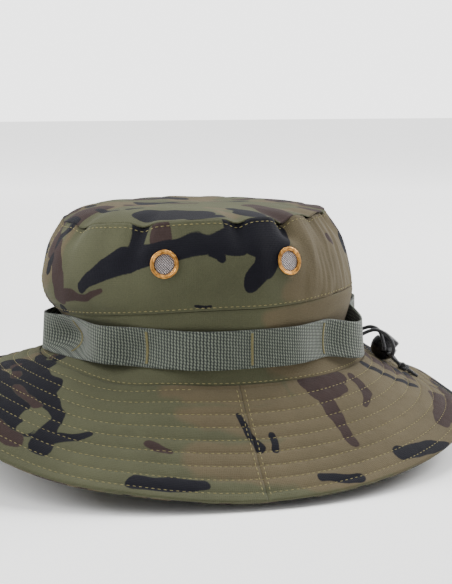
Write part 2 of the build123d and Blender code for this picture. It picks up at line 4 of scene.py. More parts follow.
import bmesh
import bpy
from mathutils import Matrix, Vector, noise
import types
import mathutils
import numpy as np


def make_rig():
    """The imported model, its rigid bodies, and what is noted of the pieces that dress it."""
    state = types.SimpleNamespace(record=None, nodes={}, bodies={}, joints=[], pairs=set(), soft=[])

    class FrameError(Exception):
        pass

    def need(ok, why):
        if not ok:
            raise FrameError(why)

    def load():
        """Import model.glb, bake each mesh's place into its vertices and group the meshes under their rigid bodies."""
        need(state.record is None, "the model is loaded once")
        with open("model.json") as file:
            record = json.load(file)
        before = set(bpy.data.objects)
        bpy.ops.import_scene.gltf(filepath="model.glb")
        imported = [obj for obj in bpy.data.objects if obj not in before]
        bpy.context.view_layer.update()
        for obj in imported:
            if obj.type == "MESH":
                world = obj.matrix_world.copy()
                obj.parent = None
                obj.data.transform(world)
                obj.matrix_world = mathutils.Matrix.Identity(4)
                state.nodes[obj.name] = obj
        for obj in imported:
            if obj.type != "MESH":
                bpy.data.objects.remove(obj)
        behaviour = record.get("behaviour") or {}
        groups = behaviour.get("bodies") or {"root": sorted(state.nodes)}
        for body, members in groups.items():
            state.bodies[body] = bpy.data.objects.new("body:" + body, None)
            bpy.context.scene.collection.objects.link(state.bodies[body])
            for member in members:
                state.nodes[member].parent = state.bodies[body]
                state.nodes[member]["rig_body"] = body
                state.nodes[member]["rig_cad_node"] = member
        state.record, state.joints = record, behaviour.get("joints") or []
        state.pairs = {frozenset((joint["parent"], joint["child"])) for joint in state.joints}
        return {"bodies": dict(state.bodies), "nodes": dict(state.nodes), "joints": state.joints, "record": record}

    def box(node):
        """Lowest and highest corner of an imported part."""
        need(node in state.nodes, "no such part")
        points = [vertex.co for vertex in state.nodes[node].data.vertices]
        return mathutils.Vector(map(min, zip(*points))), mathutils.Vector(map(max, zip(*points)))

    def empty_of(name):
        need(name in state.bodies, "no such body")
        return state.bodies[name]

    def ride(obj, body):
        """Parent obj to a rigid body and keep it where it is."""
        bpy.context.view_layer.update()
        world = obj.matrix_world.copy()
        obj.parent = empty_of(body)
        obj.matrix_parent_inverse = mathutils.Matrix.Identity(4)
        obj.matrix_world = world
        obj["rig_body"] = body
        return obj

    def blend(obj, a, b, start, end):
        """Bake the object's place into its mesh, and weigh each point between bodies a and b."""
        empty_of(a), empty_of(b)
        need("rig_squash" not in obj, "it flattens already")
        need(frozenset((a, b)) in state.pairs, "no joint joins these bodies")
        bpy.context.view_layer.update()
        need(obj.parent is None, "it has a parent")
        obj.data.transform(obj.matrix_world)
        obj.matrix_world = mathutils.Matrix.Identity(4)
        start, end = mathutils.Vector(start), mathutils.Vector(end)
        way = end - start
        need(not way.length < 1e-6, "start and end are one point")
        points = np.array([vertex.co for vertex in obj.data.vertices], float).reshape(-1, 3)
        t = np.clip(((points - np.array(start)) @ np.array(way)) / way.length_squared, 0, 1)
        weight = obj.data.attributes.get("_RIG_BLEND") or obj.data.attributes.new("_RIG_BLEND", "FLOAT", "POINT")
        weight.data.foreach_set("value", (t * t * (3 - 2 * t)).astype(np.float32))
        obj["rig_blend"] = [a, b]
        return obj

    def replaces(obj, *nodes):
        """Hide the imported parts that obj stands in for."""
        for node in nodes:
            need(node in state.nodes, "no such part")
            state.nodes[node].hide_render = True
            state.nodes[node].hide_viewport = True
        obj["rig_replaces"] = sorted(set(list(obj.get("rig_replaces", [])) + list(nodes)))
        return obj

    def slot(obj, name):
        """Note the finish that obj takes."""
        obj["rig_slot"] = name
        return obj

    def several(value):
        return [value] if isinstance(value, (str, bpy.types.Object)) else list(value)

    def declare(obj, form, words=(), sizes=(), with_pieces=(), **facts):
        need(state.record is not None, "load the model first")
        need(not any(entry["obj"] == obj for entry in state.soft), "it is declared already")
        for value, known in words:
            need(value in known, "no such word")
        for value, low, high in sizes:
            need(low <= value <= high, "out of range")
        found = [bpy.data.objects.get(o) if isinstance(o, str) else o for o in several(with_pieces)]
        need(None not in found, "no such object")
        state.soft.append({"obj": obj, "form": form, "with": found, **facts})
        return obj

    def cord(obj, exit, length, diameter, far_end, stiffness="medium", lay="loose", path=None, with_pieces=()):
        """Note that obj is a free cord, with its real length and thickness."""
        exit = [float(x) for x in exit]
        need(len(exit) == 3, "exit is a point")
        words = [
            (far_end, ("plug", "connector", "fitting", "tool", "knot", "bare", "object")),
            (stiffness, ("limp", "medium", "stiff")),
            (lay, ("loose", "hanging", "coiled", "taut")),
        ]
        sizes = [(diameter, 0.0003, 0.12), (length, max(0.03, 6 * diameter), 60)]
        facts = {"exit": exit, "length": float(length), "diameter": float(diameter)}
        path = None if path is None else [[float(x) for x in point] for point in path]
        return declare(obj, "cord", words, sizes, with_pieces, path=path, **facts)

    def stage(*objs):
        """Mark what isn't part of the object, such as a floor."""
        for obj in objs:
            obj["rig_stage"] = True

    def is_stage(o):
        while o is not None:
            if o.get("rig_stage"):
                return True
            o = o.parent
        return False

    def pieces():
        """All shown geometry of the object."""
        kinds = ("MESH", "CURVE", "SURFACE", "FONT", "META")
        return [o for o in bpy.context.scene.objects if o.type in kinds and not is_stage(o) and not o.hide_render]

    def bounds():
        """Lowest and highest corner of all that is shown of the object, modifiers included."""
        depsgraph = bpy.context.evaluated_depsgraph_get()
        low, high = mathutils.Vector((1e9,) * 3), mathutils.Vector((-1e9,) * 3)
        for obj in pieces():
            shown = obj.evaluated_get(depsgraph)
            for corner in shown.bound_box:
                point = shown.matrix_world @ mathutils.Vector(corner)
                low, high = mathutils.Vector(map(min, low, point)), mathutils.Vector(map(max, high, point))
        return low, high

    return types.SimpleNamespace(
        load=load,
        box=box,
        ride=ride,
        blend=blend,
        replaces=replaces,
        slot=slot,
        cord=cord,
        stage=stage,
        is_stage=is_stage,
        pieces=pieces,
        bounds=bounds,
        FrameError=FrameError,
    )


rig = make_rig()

bl_info = {
    "name": "Boonie hat",
    "version": (1, 0, 0),
    "blender": (4, 5, 0),
    "location": "View3D > Sidebar > Boonie hat",
    "description": "Dresses the frame of a boonie hat in printed cloth, webbing, vents, thread and cord",
    "category": "Object",
}

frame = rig.load()
cad_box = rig.bounds()
nodes = frame["nodes"]
MM = 0.001

# A "turn" is an angle round the hat in degrees: 0 is the front, 90 the wearer's left, 180 the
# back and 270 the wearer's right. Sizes are in millimetres until a piece is placed. A size
# given as three values is for front, side and back, and runs smoothly from one to the next.
HALF_LENGTH, HALF_WIDTH = 105.0, 88.0
CLOTH, BRIM_CLOTH, SEAM_GAP = 0.7, 0.6, 0.15
SEAM_HEIGHT = (5.0, -3.0, -1.5)
SEAM_SAG, SEAM_SAG_TURN, SEAM_SAG_SPREAD = 4.5, 43.0, 17.0
BAND_TOP = (33.0, 42.0, 39.5)
CROWN_EDGE = (86.0, 92.5, 91.5)
CROWN_TOP = 99.5
CROWN_ROUNDNESS = (8.0, 5.0, 4.5)
BAND_LEVELS = (0.0, 0.16, 0.32, 0.54, 0.8, 1.0)
BAND_INSETS = [(0.3, 0.2, 0.3), (10, 2.4, 8.4), (19, 3.6, 13.4), (21, 4, 14), (15.5, 3.7, 11), (10.7, 3, 9)]
WALL_LEVELS = (0.0, 0.15, 0.35, 0.55, 0.75, 1.0)
WALL_INSETS = [(10.7, 3, 9), (6.3, 2.2, 8.6), (4.6, 2, 11), (6.2, 3.2, 14.3), (9, 6.3, 18.6), (16.3, 14, 27.5)]
BRIM_WIDTH = (84.0, 78.0, 73.0)
BRIM_SLOPE_IN = (14.0, 44.0, 34.0)
BRIM_SLOPE_OUT = (10.0, 36.0, 20.0)
BRIM_THICKNESS = 2.2
WEBBING_WIDTH, WEBBING_THICKNESS = 22.5, 1.3
WEBBING_FOOT = (8.5, 7.0, 8.5)
FIRST_TACK = 8.0
REAR_WAVE, REAR_WAVE_TURN, REAR_WAVE_SPREAD = 10.0, 200.0, 13.0
SEAM_CLIMB, CLIMB_FROM, CLIMB_OVER = 0.13, 95, 60
LOOP_STAND_OFF = (2.2, 11.0, 8.0, 3.0, 2.5, 3.0, 6.0, 8.0, 4.5, 2.2)
LOOP_DROOP = (0.0, 5.0, -2.5, 3.0, 0.0, 0.0, 0.0, 0.0, 0.0, 0.0)
LOOP_FLARE = 1.5
TACK_SHIFT = (0, 0, 4.0, 0, 0, 0, 0, 0, -8.0, -8.0)
LOOPS = len(LOOP_STAND_OFF)
PUCKERS = [(19, 2.2), (49.5, 2.0), (91.5, 2.2), (115, 3.4), (136, 1.5), (160, 2.0), (190, 2.6), (214, 1.8),
           (238, 2.8), (262, 1.9), (287, 2.6), (309, 2.0), (334, 2.4), (357, 1.4)]


def dye(red, green, blue):
    """Linear colour from the everyday 0 to 255 one."""
    return tuple((c / 255 / 12.92 if c <= 10 else ((c / 255 + 0.055) / 1.055) ** 2.4) for c in (red, green, blue))


class HatSettings(bpy.types.PropertyGroup):
    olive: bpy.props.FloatVectorProperty(name="Olive", description="Ground of the print", subtype="COLOR",
                                         size=3, min=0, max=1, default=dye(68, 69, 51))
    khaki: bpy.props.FloatVectorProperty(name="Khaki", description="Pale patches of the print", subtype="COLOR",
                                         size=3, min=0, max=1, default=dye(80, 72, 54))
    brown: bpy.props.FloatVectorProperty(name="Brown", description="Brown patches of the print", subtype="COLOR",
                                         size=3, min=0, max=1, default=dye(46, 35, 33))
    black: bpy.props.FloatVectorProperty(name="Black", description="Darkest patches of the print",
                                         subtype="COLOR", size=3, min=0, max=1, default=dye(14, 14, 21))
    thread: bpy.props.FloatVectorProperty(name="Thread", description="Colour of the topstitching",
                                          subtype="COLOR", size=3, min=0, max=1, default=dye(122, 114, 74))
    webbing: bpy.props.FloatVectorProperty(name="Webbing", description="Colour of the loop webbing",
                                           subtype="COLOR", size=3, min=0, max=1, default=dye(98, 104, 92))
    lining: bpy.props.FloatVectorProperty(name="Lining", description="Colour of the sweatband",
                                          subtype="COLOR", size=3, min=0, max=1, default=dye(62, 65, 46))
    brass: bpy.props.FloatVectorProperty(name="Brass", description="Colour of the vent rims",
                                         subtype="COLOR", size=3, min=0, max=1, default=dye(196, 142, 74))
    stitch: bpy.props.FloatProperty(name="Stitch length", description="Length of one visible stitch",
                                    default=2.3 * MM, min=0.001, max=0.006, unit="LENGTH")
    stitch_gap: bpy.props.FloatProperty(name="Stitch gap", description="Cloth between two stitches",
                                        default=1.1 * MM, min=0.0003, max=0.004, unit="LENGTH")
    row_spacing: bpy.props.FloatProperty(name="Row spacing", description="Distance between the brim's stitch rows",
                                         default=9 * MM, min=0.004, max=0.02, unit="LENGTH")
    row_margin: bpy.props.FloatProperty(name="Row margin", description="From the brim's edge to its first row",
                                        default=5 * MM, min=0.002, max=0.01, unit="LENGTH")
    pucker: bpy.props.FloatProperty(name="Pucker", description="Strength of the puckers below the top seam",
                                    default=1.0, min=0, max=2)


# --- Shape of the hat ----------------------------------------------------------------------
def blend(values, turn):
    """The value at a turn, from the values at the front, side and back."""
    front, side, back = values
    lengthwise = cos(radians(turn))
    end = front if lengthwise > 0 else back
    return side + (end - side) * lengthwise ** 2


def seam_at(turn):
    """Height of the base seam, which sags between the front and each side."""
    return blend(SEAM_HEIGHT, turn) - SEAM_SAG * exp(-((near(turn, 0) - SEAM_SAG_TURN) / SEAM_SAG_SPREAD) ** 2)


def near(a, b):
    """Distance between two turns, in degrees."""
    return abs((a - b + 180) % 360 - 180)


def opening_radius(turn):
    return 1 / hypot(cos(radians(turn)) / HALF_LENGTH, sin(radians(turn)) / HALF_WIDTH)


def along(points, place):
    """A point on the smooth curve through the points; place counts from 0 at the first."""
    index = max(0, min(int(place), len(points) - 2))
    part = place - index
    a, b = points[index], points[index + 1]
    before = points[index - 1] if index > 0 else tuple(2 * p - q for p, q in zip(a, b))
    after = points[index + 2] if index + 2 < len(points) else tuple(2 * q - p for p, q in zip(a, b))
    result = []
    for p0, p1, p2, p3 in zip(before, a, b, after):
        bend = (2 * p0 - 5 * p1 + 4 * p2 - p3) * part + (3 * p1 - p0 - 3 * p2 + p3) * part ** 2
        result.append(p1 + 0.5 * part * (p2 - p0 + bend))
    return tuple(result)


def profile_point(turn, share, base, top, levels, insets):
    """A point on the outside of a crown wall: its distance, height and the slope's normal."""
    knots = [(opening_radius(turn) - blend(inset, turn), base + level * (top - base))
             for level, inset in zip(levels, insets)]
    place = share * (len(knots) - 1)
    r, z = along(knots, place)
    r0, z0 = along(knots, max(0, place - 0.05))
    r1, z1 = along(knots, min(len(knots) - 1, place + 0.05))
    length = hypot(r1 - r0, z1 - z0)
    return r, z, (z1 - z0) / length, (r0 - r1) / length


def band_point(turn, share):
    return profile_point(turn, share, seam_at(turn), blend(BAND_TOP, turn), BAND_LEVELS, BAND_INSETS)


def wall_point(turn, share):
    return profile_point(turn, share, blend(BAND_TOP, turn), blend(CROWN_EDGE, turn), WALL_LEVELS, WALL_INSETS)


def on_ring(turn, radius, height):
    return Vector((radius * sin(radians(turn)), -radius * cos(radians(turn)), height)) * MM


def lifted(turn, point, lift):
    """A wall point moved off the cloth by a distance, as a place in the hat."""
    r, z, nr, nz = point
    return on_ring(turn, r + nr * lift, z + nz * lift)


def wave(turn, height, seed, across=22.0, up=22.0):
    """Smooth random waves over the crown, from -1 to 1."""
    x, y = 95 * sin(radians(turn)) / across, 95 * cos(radians(turn)) / across
    return noise.noise(Vector((x + seed, y - seed, height / up + seed)))


def pull(turn, width=4.2):
    """How hard the puckers pull at a turn, along the top seam."""
    return sum(depth * exp(-(near(turn, place) / width) ** 2) for place, depth in PUCKERS)


def edge_drop(turn):
    """How far the top seam dips at a turn."""
    strength = bpy.context.scene.hat.pucker
    return strength * (1.15 * pull(turn) - 1.4 + 0.5 * wave(turn, 0, 7, 30))


def wall_relief(turn, share):
    """How far the crown wall's cloth stands off its frame: folds under the puckers and waves."""
    strength = bpy.context.scene.hat.pucker
    folds = 0.0
    for place, depth in PUCKERS:
        drift = place + 3.0 * (1 - share) * sin(place)
        reach = 4.0 + 5.0 * (1 - share)
        folds -= depth * exp(-(near(turn, drift) / reach) ** 2) * max(0, (share - 0.25) / 0.75) ** 1.3
        swell = exp(-(near(turn, drift + reach * 1.5) / reach) ** 2)
        folds += 0.35 * depth * swell * max(0, (share - 0.1) / 0.9) * (1 - share ** 4)
    rear = max(0.0, 1 - (near(turn, 150) / 38) ** 2) + max(0.0, 1 - (near(turn, 215) / 38) ** 2)
    creases = rear * (0.9 * wave(turn, share * 30, 3, 7, 40) + 0.5 * wave(turn, share * 55, 5, 4, 26))
    body = 1.1 * wave(turn, share * 50, 1, 34, 26) + 0.55 * wave(turn, share * 50, 2, 12, 14)
    body += 2.2 * exp(-(near(turn, 0) / 32) ** 2) * sin(pi * share) - 1.8 * exp(-(near(turn, 152) / 22) ** 2)
    seams = min(1.0, share / 0.12)
    from_seam = min(share, 1 - share) * 55
    gathers = 0.34 * wave(turn, 0, 31, 2.6) * exp(-((from_seam - 1.5) / 3.2) ** 2)
    return strength * folds + (body + creases) * seams + gathers


def brim_point(turn, share, depth=0.0):
    """A point down the brim: its distance from the middle, its height and the slope there."""
    width = blend(BRIM_WIDTH, turn)
    slope_in, slope_out = radians(blend(BRIM_SLOPE_IN, turn)), radians(blend(BRIM_SLOPE_OUT, turn))
    bend = slope_out - slope_in
    slope = slope_in + bend * share
    if abs(bend) < 1e-6:
        run, fall = share * cos(slope_in), share * sin(slope_in)
    else:
        run, fall = (sin(slope) - sin(slope_in)) / bend, (cos(slope_in) - cos(slope)) / bend
    r = opening_radius(turn) + SEAM_GAP + width * run
    z = seam_at(turn) - width * fall
    return r - depth * sin(slope), z - depth * cos(slope), sin(slope), cos(slope)


def brim_rows(turn):
    """Distances of the stitch rows from the crown at a turn, counted in from the edge."""
    hat = bpy.context.scene.hat
    width = blend(BRIM_WIDTH, turn)
    return [width - (hat.row_margin + index * hat.row_spacing) / MM for index in range(9)]


def panel_point(turn, share, lift=0.0):
    """A point on the top panel, from the middle (0) to its seam (1)."""
    r, z, _, _ = wall_point(turn, 1)
    radius = share * (r - CLOTH - SEAM_GAP + 0.35)
    drop = (CROWN_TOP - z) * share ** blend(CROWN_ROUNDNESS, turn)
    dip = edge_drop(turn) * share ** 7
    fold = 0.9 * pull(turn, 5.0) * max(0.0, share - 0.55) * (1 - share ** 10) * 1.6
    ripple = 0.9 * noise.noise(on_ring(turn, radius, 0) / (26 * MM) + Vector((4, 1, 2))) * (1 - share ** 8)
    sink = 2.4 * (1 - share ** 6)
    return on_ring(turn, radius, CROWN_TOP - drop - dip - fold - sink + ripple + lift)


# --- Print -----------------------------------------------------------------------------------
# Each stroke is given as (turn, height, turn, height, half width at each end). Heights
# are those of the crown wall, distances out from the crown on the brim, and percent of the
# way out on the top panel.
WALL_STROKES = {
    "black": [(28, 55, 38, 67, 3, 6), (38, 67, 50, 75, 6, 7), (48, 94, 49, 78, 5, 5.5), (51, 75, 65, 79, 7, 5),
              (65, 79, 75, 82.5, 5, 5), (75, 82.5, 91, 82, 5, 5.5), (81, 79, 83, 75, 5, 3),
              (94, 96, 110, 92.5, 8, 9), (98, 87, 110, 88, 12, 10), (85, 96, 88.5, 90, 3.6, 5),
              (103, 78, 101, 69, 10.5, 8.5), (101, 69, 95, 61, 8, 6), (73, 45.5, 79, 45.5, 1.2, 1.2)],
    "brown": [(57, 91, 60, 82, 6.5, 6.5), (14, 62, 16, 48, 5, 6), (20, 49, 30, 49, 3.4, 2.4),
              (30, 49, 37, 54, 2.4, 1.2), (144, 80, 146, 76, 3, 2.4)],
    "khaki": [(122, 90, 170, 84, 14, 26), (121, 68, 170, 62, 17, 26), (112, 51, 168, 50, 7, 20),
              (-4, 80, 3, 60, 10, 12)],
}
BAND_STROKES = {
    "black": [(146, 6, 158, 8, 3.6, 3.0)],
    "brown": [(160, 4, 168, 4, 3.0, 3.0)],
    "khaki": [(108, 12, 170, 16, 12, 30), (104, 34, 170, 40, 6, 12)],
}
BRIM_STROKES = {
    "black": [(2, 22, 15, 6, 8, 7), (10, 14, 26, 22, 8, 10), (6, 34, 26, 34, 7, 8), (26, 30, 27, 52, 9, 6),
              (20, 52, 34, 58, 6, 6), (14, 58, 22, 50, 8, 8), (37, 38, 40, 64, 4, 6), (40, 56, 47, 42, 5, 2.4),
              (28, 26, 36, 36, 6, 5), (87, 20, 91.5, 44, 1.6, 3.4), (96, 36, 95.5, 46, 2.4, 2.8),
              (153, 2, 164, 37, 3.4, 3.0), (62, 72, 76, 68, 5, 4), (128, 66, 140, 74, 6, 5), (104, 68, 112, 73, 3, 4)],
    "brown_over": [(7, 18, 14, 24, 3.6, 3.6), (20, 33, 30, 36, 3.4, 3), (22, 62, 34, 67, 6, 6)],
    "clear": [(33, 42, 34, 56, 3.6, 4.6)],
    "brown": [(116, 3, 134, 4, 5, 5), (118, 11, 130, 10, 7, 6), (120, 17, 118, 50, 6.5, 3.6),
              (139, 7, 138, 20, 4.5, 4.4), (138, 20, 132, 28, 4.4, 1.4), (150, 62, 164, 56, 6, 8),
              (62, 44, 68, 48, 2.4, 2)],
    "khaki": [(112, 3, 175, 3, 8, 14), (106, 26, 178, 26, 16, 26), (104, 56, 176, 56, 22, 26),
              (62, 4, 104, 8, 5, 10), (70, 20, 104, 28, 6, 14), (76, 50, 100, 56, 12, 16), (2, 4, 8, 30, 6, 4)],
}
PANEL_STROKES = {
    "black": [(12, 82, 25, 79, 2.5, 2.0), (320, 92, 340, 84, 3, 3), (34, 68, 30, 74, 2.5, 3),
              (50, 82, 72, 84, 13, 12), (72, 94, 83, 92, 6, 4), (100, 56, 104, 86, 5, 7), (98, 76, 103, 94, 5, 6)],
    "brown": [(128, 50, 118, 92, 9, 9), (20, 26, 64, 22, 3, 3), (150, 84, 148, 98, 4, 5)],
    "khaki": [(350, 86, 20, 92, 9, 8), (80, 52, 96, 58, 4, 3), (86, 72, 92, 88, 5, 5), (136, 84, 142, 96, 9, 8),
              (200, 70, 170, 80, 14, 10), (4, 50, 30, 52, 8, 6)],
}
DRAWN_REACH = 76.0


def stroke_field(strokes, turn, height, degree):
    """How deep a place lies inside the nearest stroke, in millimetres; negative outside."""
    best = -30.0
    for t0, h0, t1, h1, w0, w1 in strokes:
        ax, bx = (t1 - t0) * degree, h1 - h0
        px, py = ((turn - t0 + 180) % 360 - 180) * degree, height - h0
        share = max(0.0, min(1.0, (px * ax + py * bx) / max(1e-6, ax * ax + bx * bx)))
        best = max(best, w0 + (w1 - w0) * share - hypot(px - ax * share, py - bx * share))
    return best


def print_fields(strokes, turn, height, degree, spot, seed):
    """Depth inside the black, brown and khaki of the print at a place on a panel."""
    p = spot / MM
    sway = 2.2 * noise.noise(p / 11 + Vector((seed, 3, 1)))
    sway_up = 2.2 * noise.noise(p / 11 + Vector((9, seed, 5)))
    outside = min(0.0, near(turn, 90) - DRAWN_REACH) if strokes else 0.0
    result = []
    strokes = strokes or {}
    place = (turn + sway / degree, height + sway_up, degree)
    cleared = stroke_field(strokes.get("clear", ()), *place)
    over = stroke_field(strokes.get("brown_over", ()), *place)
    for index, colour in enumerate(("black", "brown", "khaki")):
        drawn = stroke_field(strokes.get(colour, ()), *place)
        if colour == "black":
            drawn = min(drawn, -over, -cleared)
        elif colour == "brown":
            drawn = max(drawn, over)
        shift = Vector((seed * 3.1 + index * 17.3, index * 5.7, seed - index * 8.3))
        size = (23.0, 26.0, 34.0)[index]
        cloud = noise.noise(p / size + shift) + 0.45 * noise.noise(p / (size * 0.45) + shift)
        scattered = (cloud - (0.20, 0.20, 0.10)[index]) * 22 + outside * 4
        result.append(max(drawn, scattered))
    return result


# --- Node expressions --------------------------------------------------------------------------
class Socket:
    """A shader socket that takes part in sums."""

    def __init__(self, paint, socket):
        self.paint, self.socket = paint, socket

    def _math(self, operation, *values):
        made = self.paint.node("ShaderNodeMath", {"operation": operation}, dict(enumerate(values)))
        return Socket(self.paint, made.outputs[0])

    def __add__(self, other):
        return self._math("ADD", self, other)

    __radd__ = __add__

    def __sub__(self, other):
        return self._math("SUBTRACT", self, other)

    def __rsub__(self, other):
        return self._math("SUBTRACT", other, self)

    def __mul__(self, other):
        return self._math("MULTIPLY", self, other)

    __rmul__ = __mul__

    def sine(self):
        return self._math("SINE", self)

    def whole(self):
        return self._math("FLOOR", self)

    def size(self):
        return self._math("ABSOLUTE", self)

    def step(self, low, high):
        """0 below low, 1 above high."""
        inputs = {0: self, 1: low, 2: high, 3: 0.0, 4: 1.0}
        return Socket(self.paint, self.paint.node("ShaderNodeMapRange", {}, inputs).outputs[0])


class Paint:
    """One material and the nodes that make it."""

    def __init__(self, name, roughness=0.9, metallic=0.0, **constants):
        self.material = bpy.data.materials.new(name)
        self.material.use_nodes = True
        self.tree = self.material.node_tree
        self.shader = self.tree.nodes["Principled BSDF"]
        self.shader.inputs["Roughness"].default_value = roughness
        self.shader.inputs["Metallic"].default_value = metallic
        for key, value in constants.items():
            self.shader.inputs[key.replace("_", " ")].default_value = value

    def node(self, kind, settings, inputs):
        made = self.tree.nodes.new(kind)
        for key, value in settings.items():
            setattr(made, key, value)
        for key, value in inputs.items():
            self.feed(made.inputs[key], value)
        return made

    def feed(self, target, value):
        if isinstance(value, Socket):
            value = value.socket
        if isinstance(value, bpy.types.NodeSocket):
            self.tree.links.new(value, target)
        elif hasattr(value, "__len__") and len(value) == 3 and target.type == "RGBA":
            target.default_value = (*value, 1)
        else:
            target.default_value = value

    def coordinate(self, kind="Object"):
        return self.node("ShaderNodeTexCoord", {}, {}).outputs[kind]

    def attribute(self, name):
        return Socket(self, self.node("ShaderNodeAttribute", {"attribute_name": name}, {}).outputs["Fac"])

    def uv(self):
        parts = self.node("ShaderNodeSeparateXYZ", {}, {0: self.coordinate("UV")})
        return Socket(self, parts.outputs[0]), Socket(self, parts.outputs[1])

    def grain(self, scale, detail=2.0, vector=None, roughness=0.5):
        inputs = {"Vector": vector or self.coordinate(), "Scale": scale, "Detail": detail, "Roughness": roughness}
        return Socket(self, self.node("ShaderNodeTexNoise", {}, inputs).outputs["Fac"])

    def mix(self, factor, a, b):
        made = self.node("ShaderNodeMix", {"data_type": "RGBA"}, {})
        self.feed(made.inputs[0], factor)
        self.feed(made.inputs[6], a)
        self.feed(made.inputs[7], b)
        return made.outputs[2]

    def tint(self, colour, amount):
        """The colour times an amount."""
        value = self.node("ShaderNodeCombineXYZ", {}, {0: amount, 1: amount, 2: amount}).outputs[0]
        made = self.node("ShaderNodeMix", {"data_type": "RGBA", "blend_type": "MULTIPLY"}, {0: 1.0})
        self.feed(made.inputs[6], colour)
        self.feed(made.inputs[7], value)
        return made.outputs[2]

    def bump(self, height, distance, strength=1.0):
        made = self.node("ShaderNodeBump", {}, {"Height": height, "Distance": distance, "Strength": strength})
        self.tree.links.new(made.outputs[0], self.shader.inputs["Normal"])

    def base(self, colour):
        self.feed(self.shader.inputs["Base Color"], colour)
        return self.material


def printed_cloth():
    """Cotton printed in four colours; the print's edges come from the piece's own fields."""
    hat = bpy.context.scene.hat
    paint = Paint("printed cloth", roughness=0.92, Sheen_Weight=0.04, Specular_IOR_Level=0.15)
    fray = (paint.grain(900, 3) - 0.5) * 0.7
    faded = paint.attribute("khaki") + (paint.grain(90, 4) - 0.5) * 6
    colour = paint.mix(faded.step(-2.2, 2.2), tuple(hat.olive), tuple(hat.khaki))
    colour = paint.mix((paint.attribute("brown") + fray).step(-0.3, 0.3), colour, tuple(hat.brown))
    colour = paint.mix((paint.attribute("black") + fray).step(-0.3, 0.3), colour, tuple(hat.black))
    wear = paint.grain(26, 5) * 0.55 + paint.grain(1400, 2) * 0.5 + 0.475
    colour = paint.tint(colour, wear)
    u, v = paint.uv()
    weave = (u * (2 * pi / 0.0011)).sine() * 0.5 + (v * (2 * pi / 0.0011)).sine() * 0.5
    paint.bump(weave * 0.4 + paint.grain(700, 3) * 1.2, 0.00016, 0.8)
    return paint.base(colour)


def plain_cloth(name, colour, scale=1300):
    paint = Paint(name, roughness=0.93, Sheen_Weight=0.1, Specular_IOR_Level=0.25)
    paint.bump(paint.grain(scale, 3), 0.0002, 0.7)
    return paint.base(paint.tint(tuple(colour), paint.grain(scale, 2) * 0.5 + 0.75))


def ribbed_webbing():
    """Webbing with ribs across its width, each a column of slanting yarns; the dark in its grooves is painted shade.
    """
    hat = bpy.context.scene.hat
    paint = Paint("ribbed webbing", roughness=0.75, Sheen_Weight=0.15, Specular_IOR_Level=0.35)
    u, v = paint.uv()
    rib_pitch, yarn_pitch = 0.00155, 0.0019
    ribs = (u * (2 * pi / rib_pitch) + (v * 900).sine() * 0.3).sine() * 0.5 + 0.5
    odd = (u * (1 / rib_pitch) + 0.25).whole() * pi
    yarns = (v * (2 * pi / yarn_pitch) + odd + u * 2600).sine() * 0.5 + 0.5
    relief = ribs * (yarns * 0.8 + 0.2)
    # Painted shade: where the relief is low, between the ribs and yarns, the colour turns near-black.
    light = relief.step(0.08, 0.5)
    colour = paint.mix(light, dye(22, 28, 25), tuple(hat.webbing))
    colour = paint.tint(colour, paint.grain(320, 3) * 0.35 + 0.84)
    paint.bump(relief, 0.0004, 0.8)
    return paint.base(colour)


def vent_brass():
    paint = Paint("vent brass", roughness=0.34, metallic=1.0)
    tarnish = paint.grain(420, 4)
    colour = paint.mix(tarnish.step(0.42, 0.68), tuple(bpy.context.scene.hat.brass), dye(128, 88, 44))
    paint.feed(paint.shader.inputs["Roughness"], tarnish * 0.3 + 0.22)
    return paint.base(colour)


def woven_wire():
    """Fine wire cloth seen as crossing wires with dark gaps; the dark gaps and the dimmer wires that pass under are
    painted shade.
    """
    paint = Paint("woven wire", roughness=0.42, metallic=0.85)
    u, v = paint.uv()
    pitch = 2 * pi / 0.0015
    over = ((u + v) * pitch).sine() * 0.5 + 0.5
    under = ((u - v) * pitch).sine() * 0.5 + 0.5
    # Painted shade: the wires that pass under are dimmed and the gaps between the wires are painted near-black.
    wires = over.step(0.25, 0.75) + under.step(0.25, 0.75) * 0.6
    colour = paint.mix(wires.step(0.2, 0.85), dye(20, 18, 24), dye(150, 143, 142))
    paint.bump(wires, 0.0003, 0.9)
    return paint.base(colour)


def black_cord():
    paint = Paint("black cord", roughness=0.62, Sheen_Weight=0.2)
    u, v = paint.uv()
    braid_relief_and_shade = ((u * 5200) + (v * 2 * pi * 4)).sine() * ((u * 5200) - (v * 2 * pi * 4)).sine()
    paint.bump(braid_relief_and_shade, 0.00022, 0.8)
    # Painted shade in the cord's grooves and painted highlight on its crests, following the same relief as the bump.
    return paint.base(paint.mix(braid_relief_and_shade.step(-0.6, 0.8), dye(16, 16, 19), dye(44, 44, 50)))


def lock_plastic(name, colour, roughness):
    paint = Paint(name, roughness=roughness, Specular_IOR_Level=0.5)
    paint.bump(paint.grain(1400, 2), 0.00003, 0.5)
    return paint.base(paint.tint(colour, paint.grain(300, 3) * 0.3 + 0.85))


def steel():
    return Paint("spring steel", roughness=0.3, metallic=1.0).base(dye(190, 190, 190))


PAINTS = {}


def paint_of(name):
    """The material of a name, made once."""
    hat = bpy.context.scene.hat
    makers = {
        "printed": printed_cloth, "webbing": ribbed_webbing, "brass": vent_brass, "wire": woven_wire,
        "cord": black_cord, "plastic": lambda: lock_plastic("lock plastic", dye(13, 13, 16), 0.24),
        "button": lambda: lock_plastic("button plastic", dye(20, 20, 24), 0.35), "steel": steel,
        "thread": lambda: plain_cloth("topstitch thread", hat.thread, 2600),
        "tack": lambda: plain_cloth("bartack thread", dye(104, 98, 66), 2600),
        "lining": lambda: plain_cloth("sweatband cotton", hat.lining),
        "core": lambda: plain_cloth("interlining cloth", dye(120, 116, 100)),
        "eyelet": lambda: plain_cloth("sewn eyelet", dye(70, 72, 50), 2600),
    }
    if name not in PAINTS:
        PAINTS[name] = makers[name]()
    return PAINTS[name]


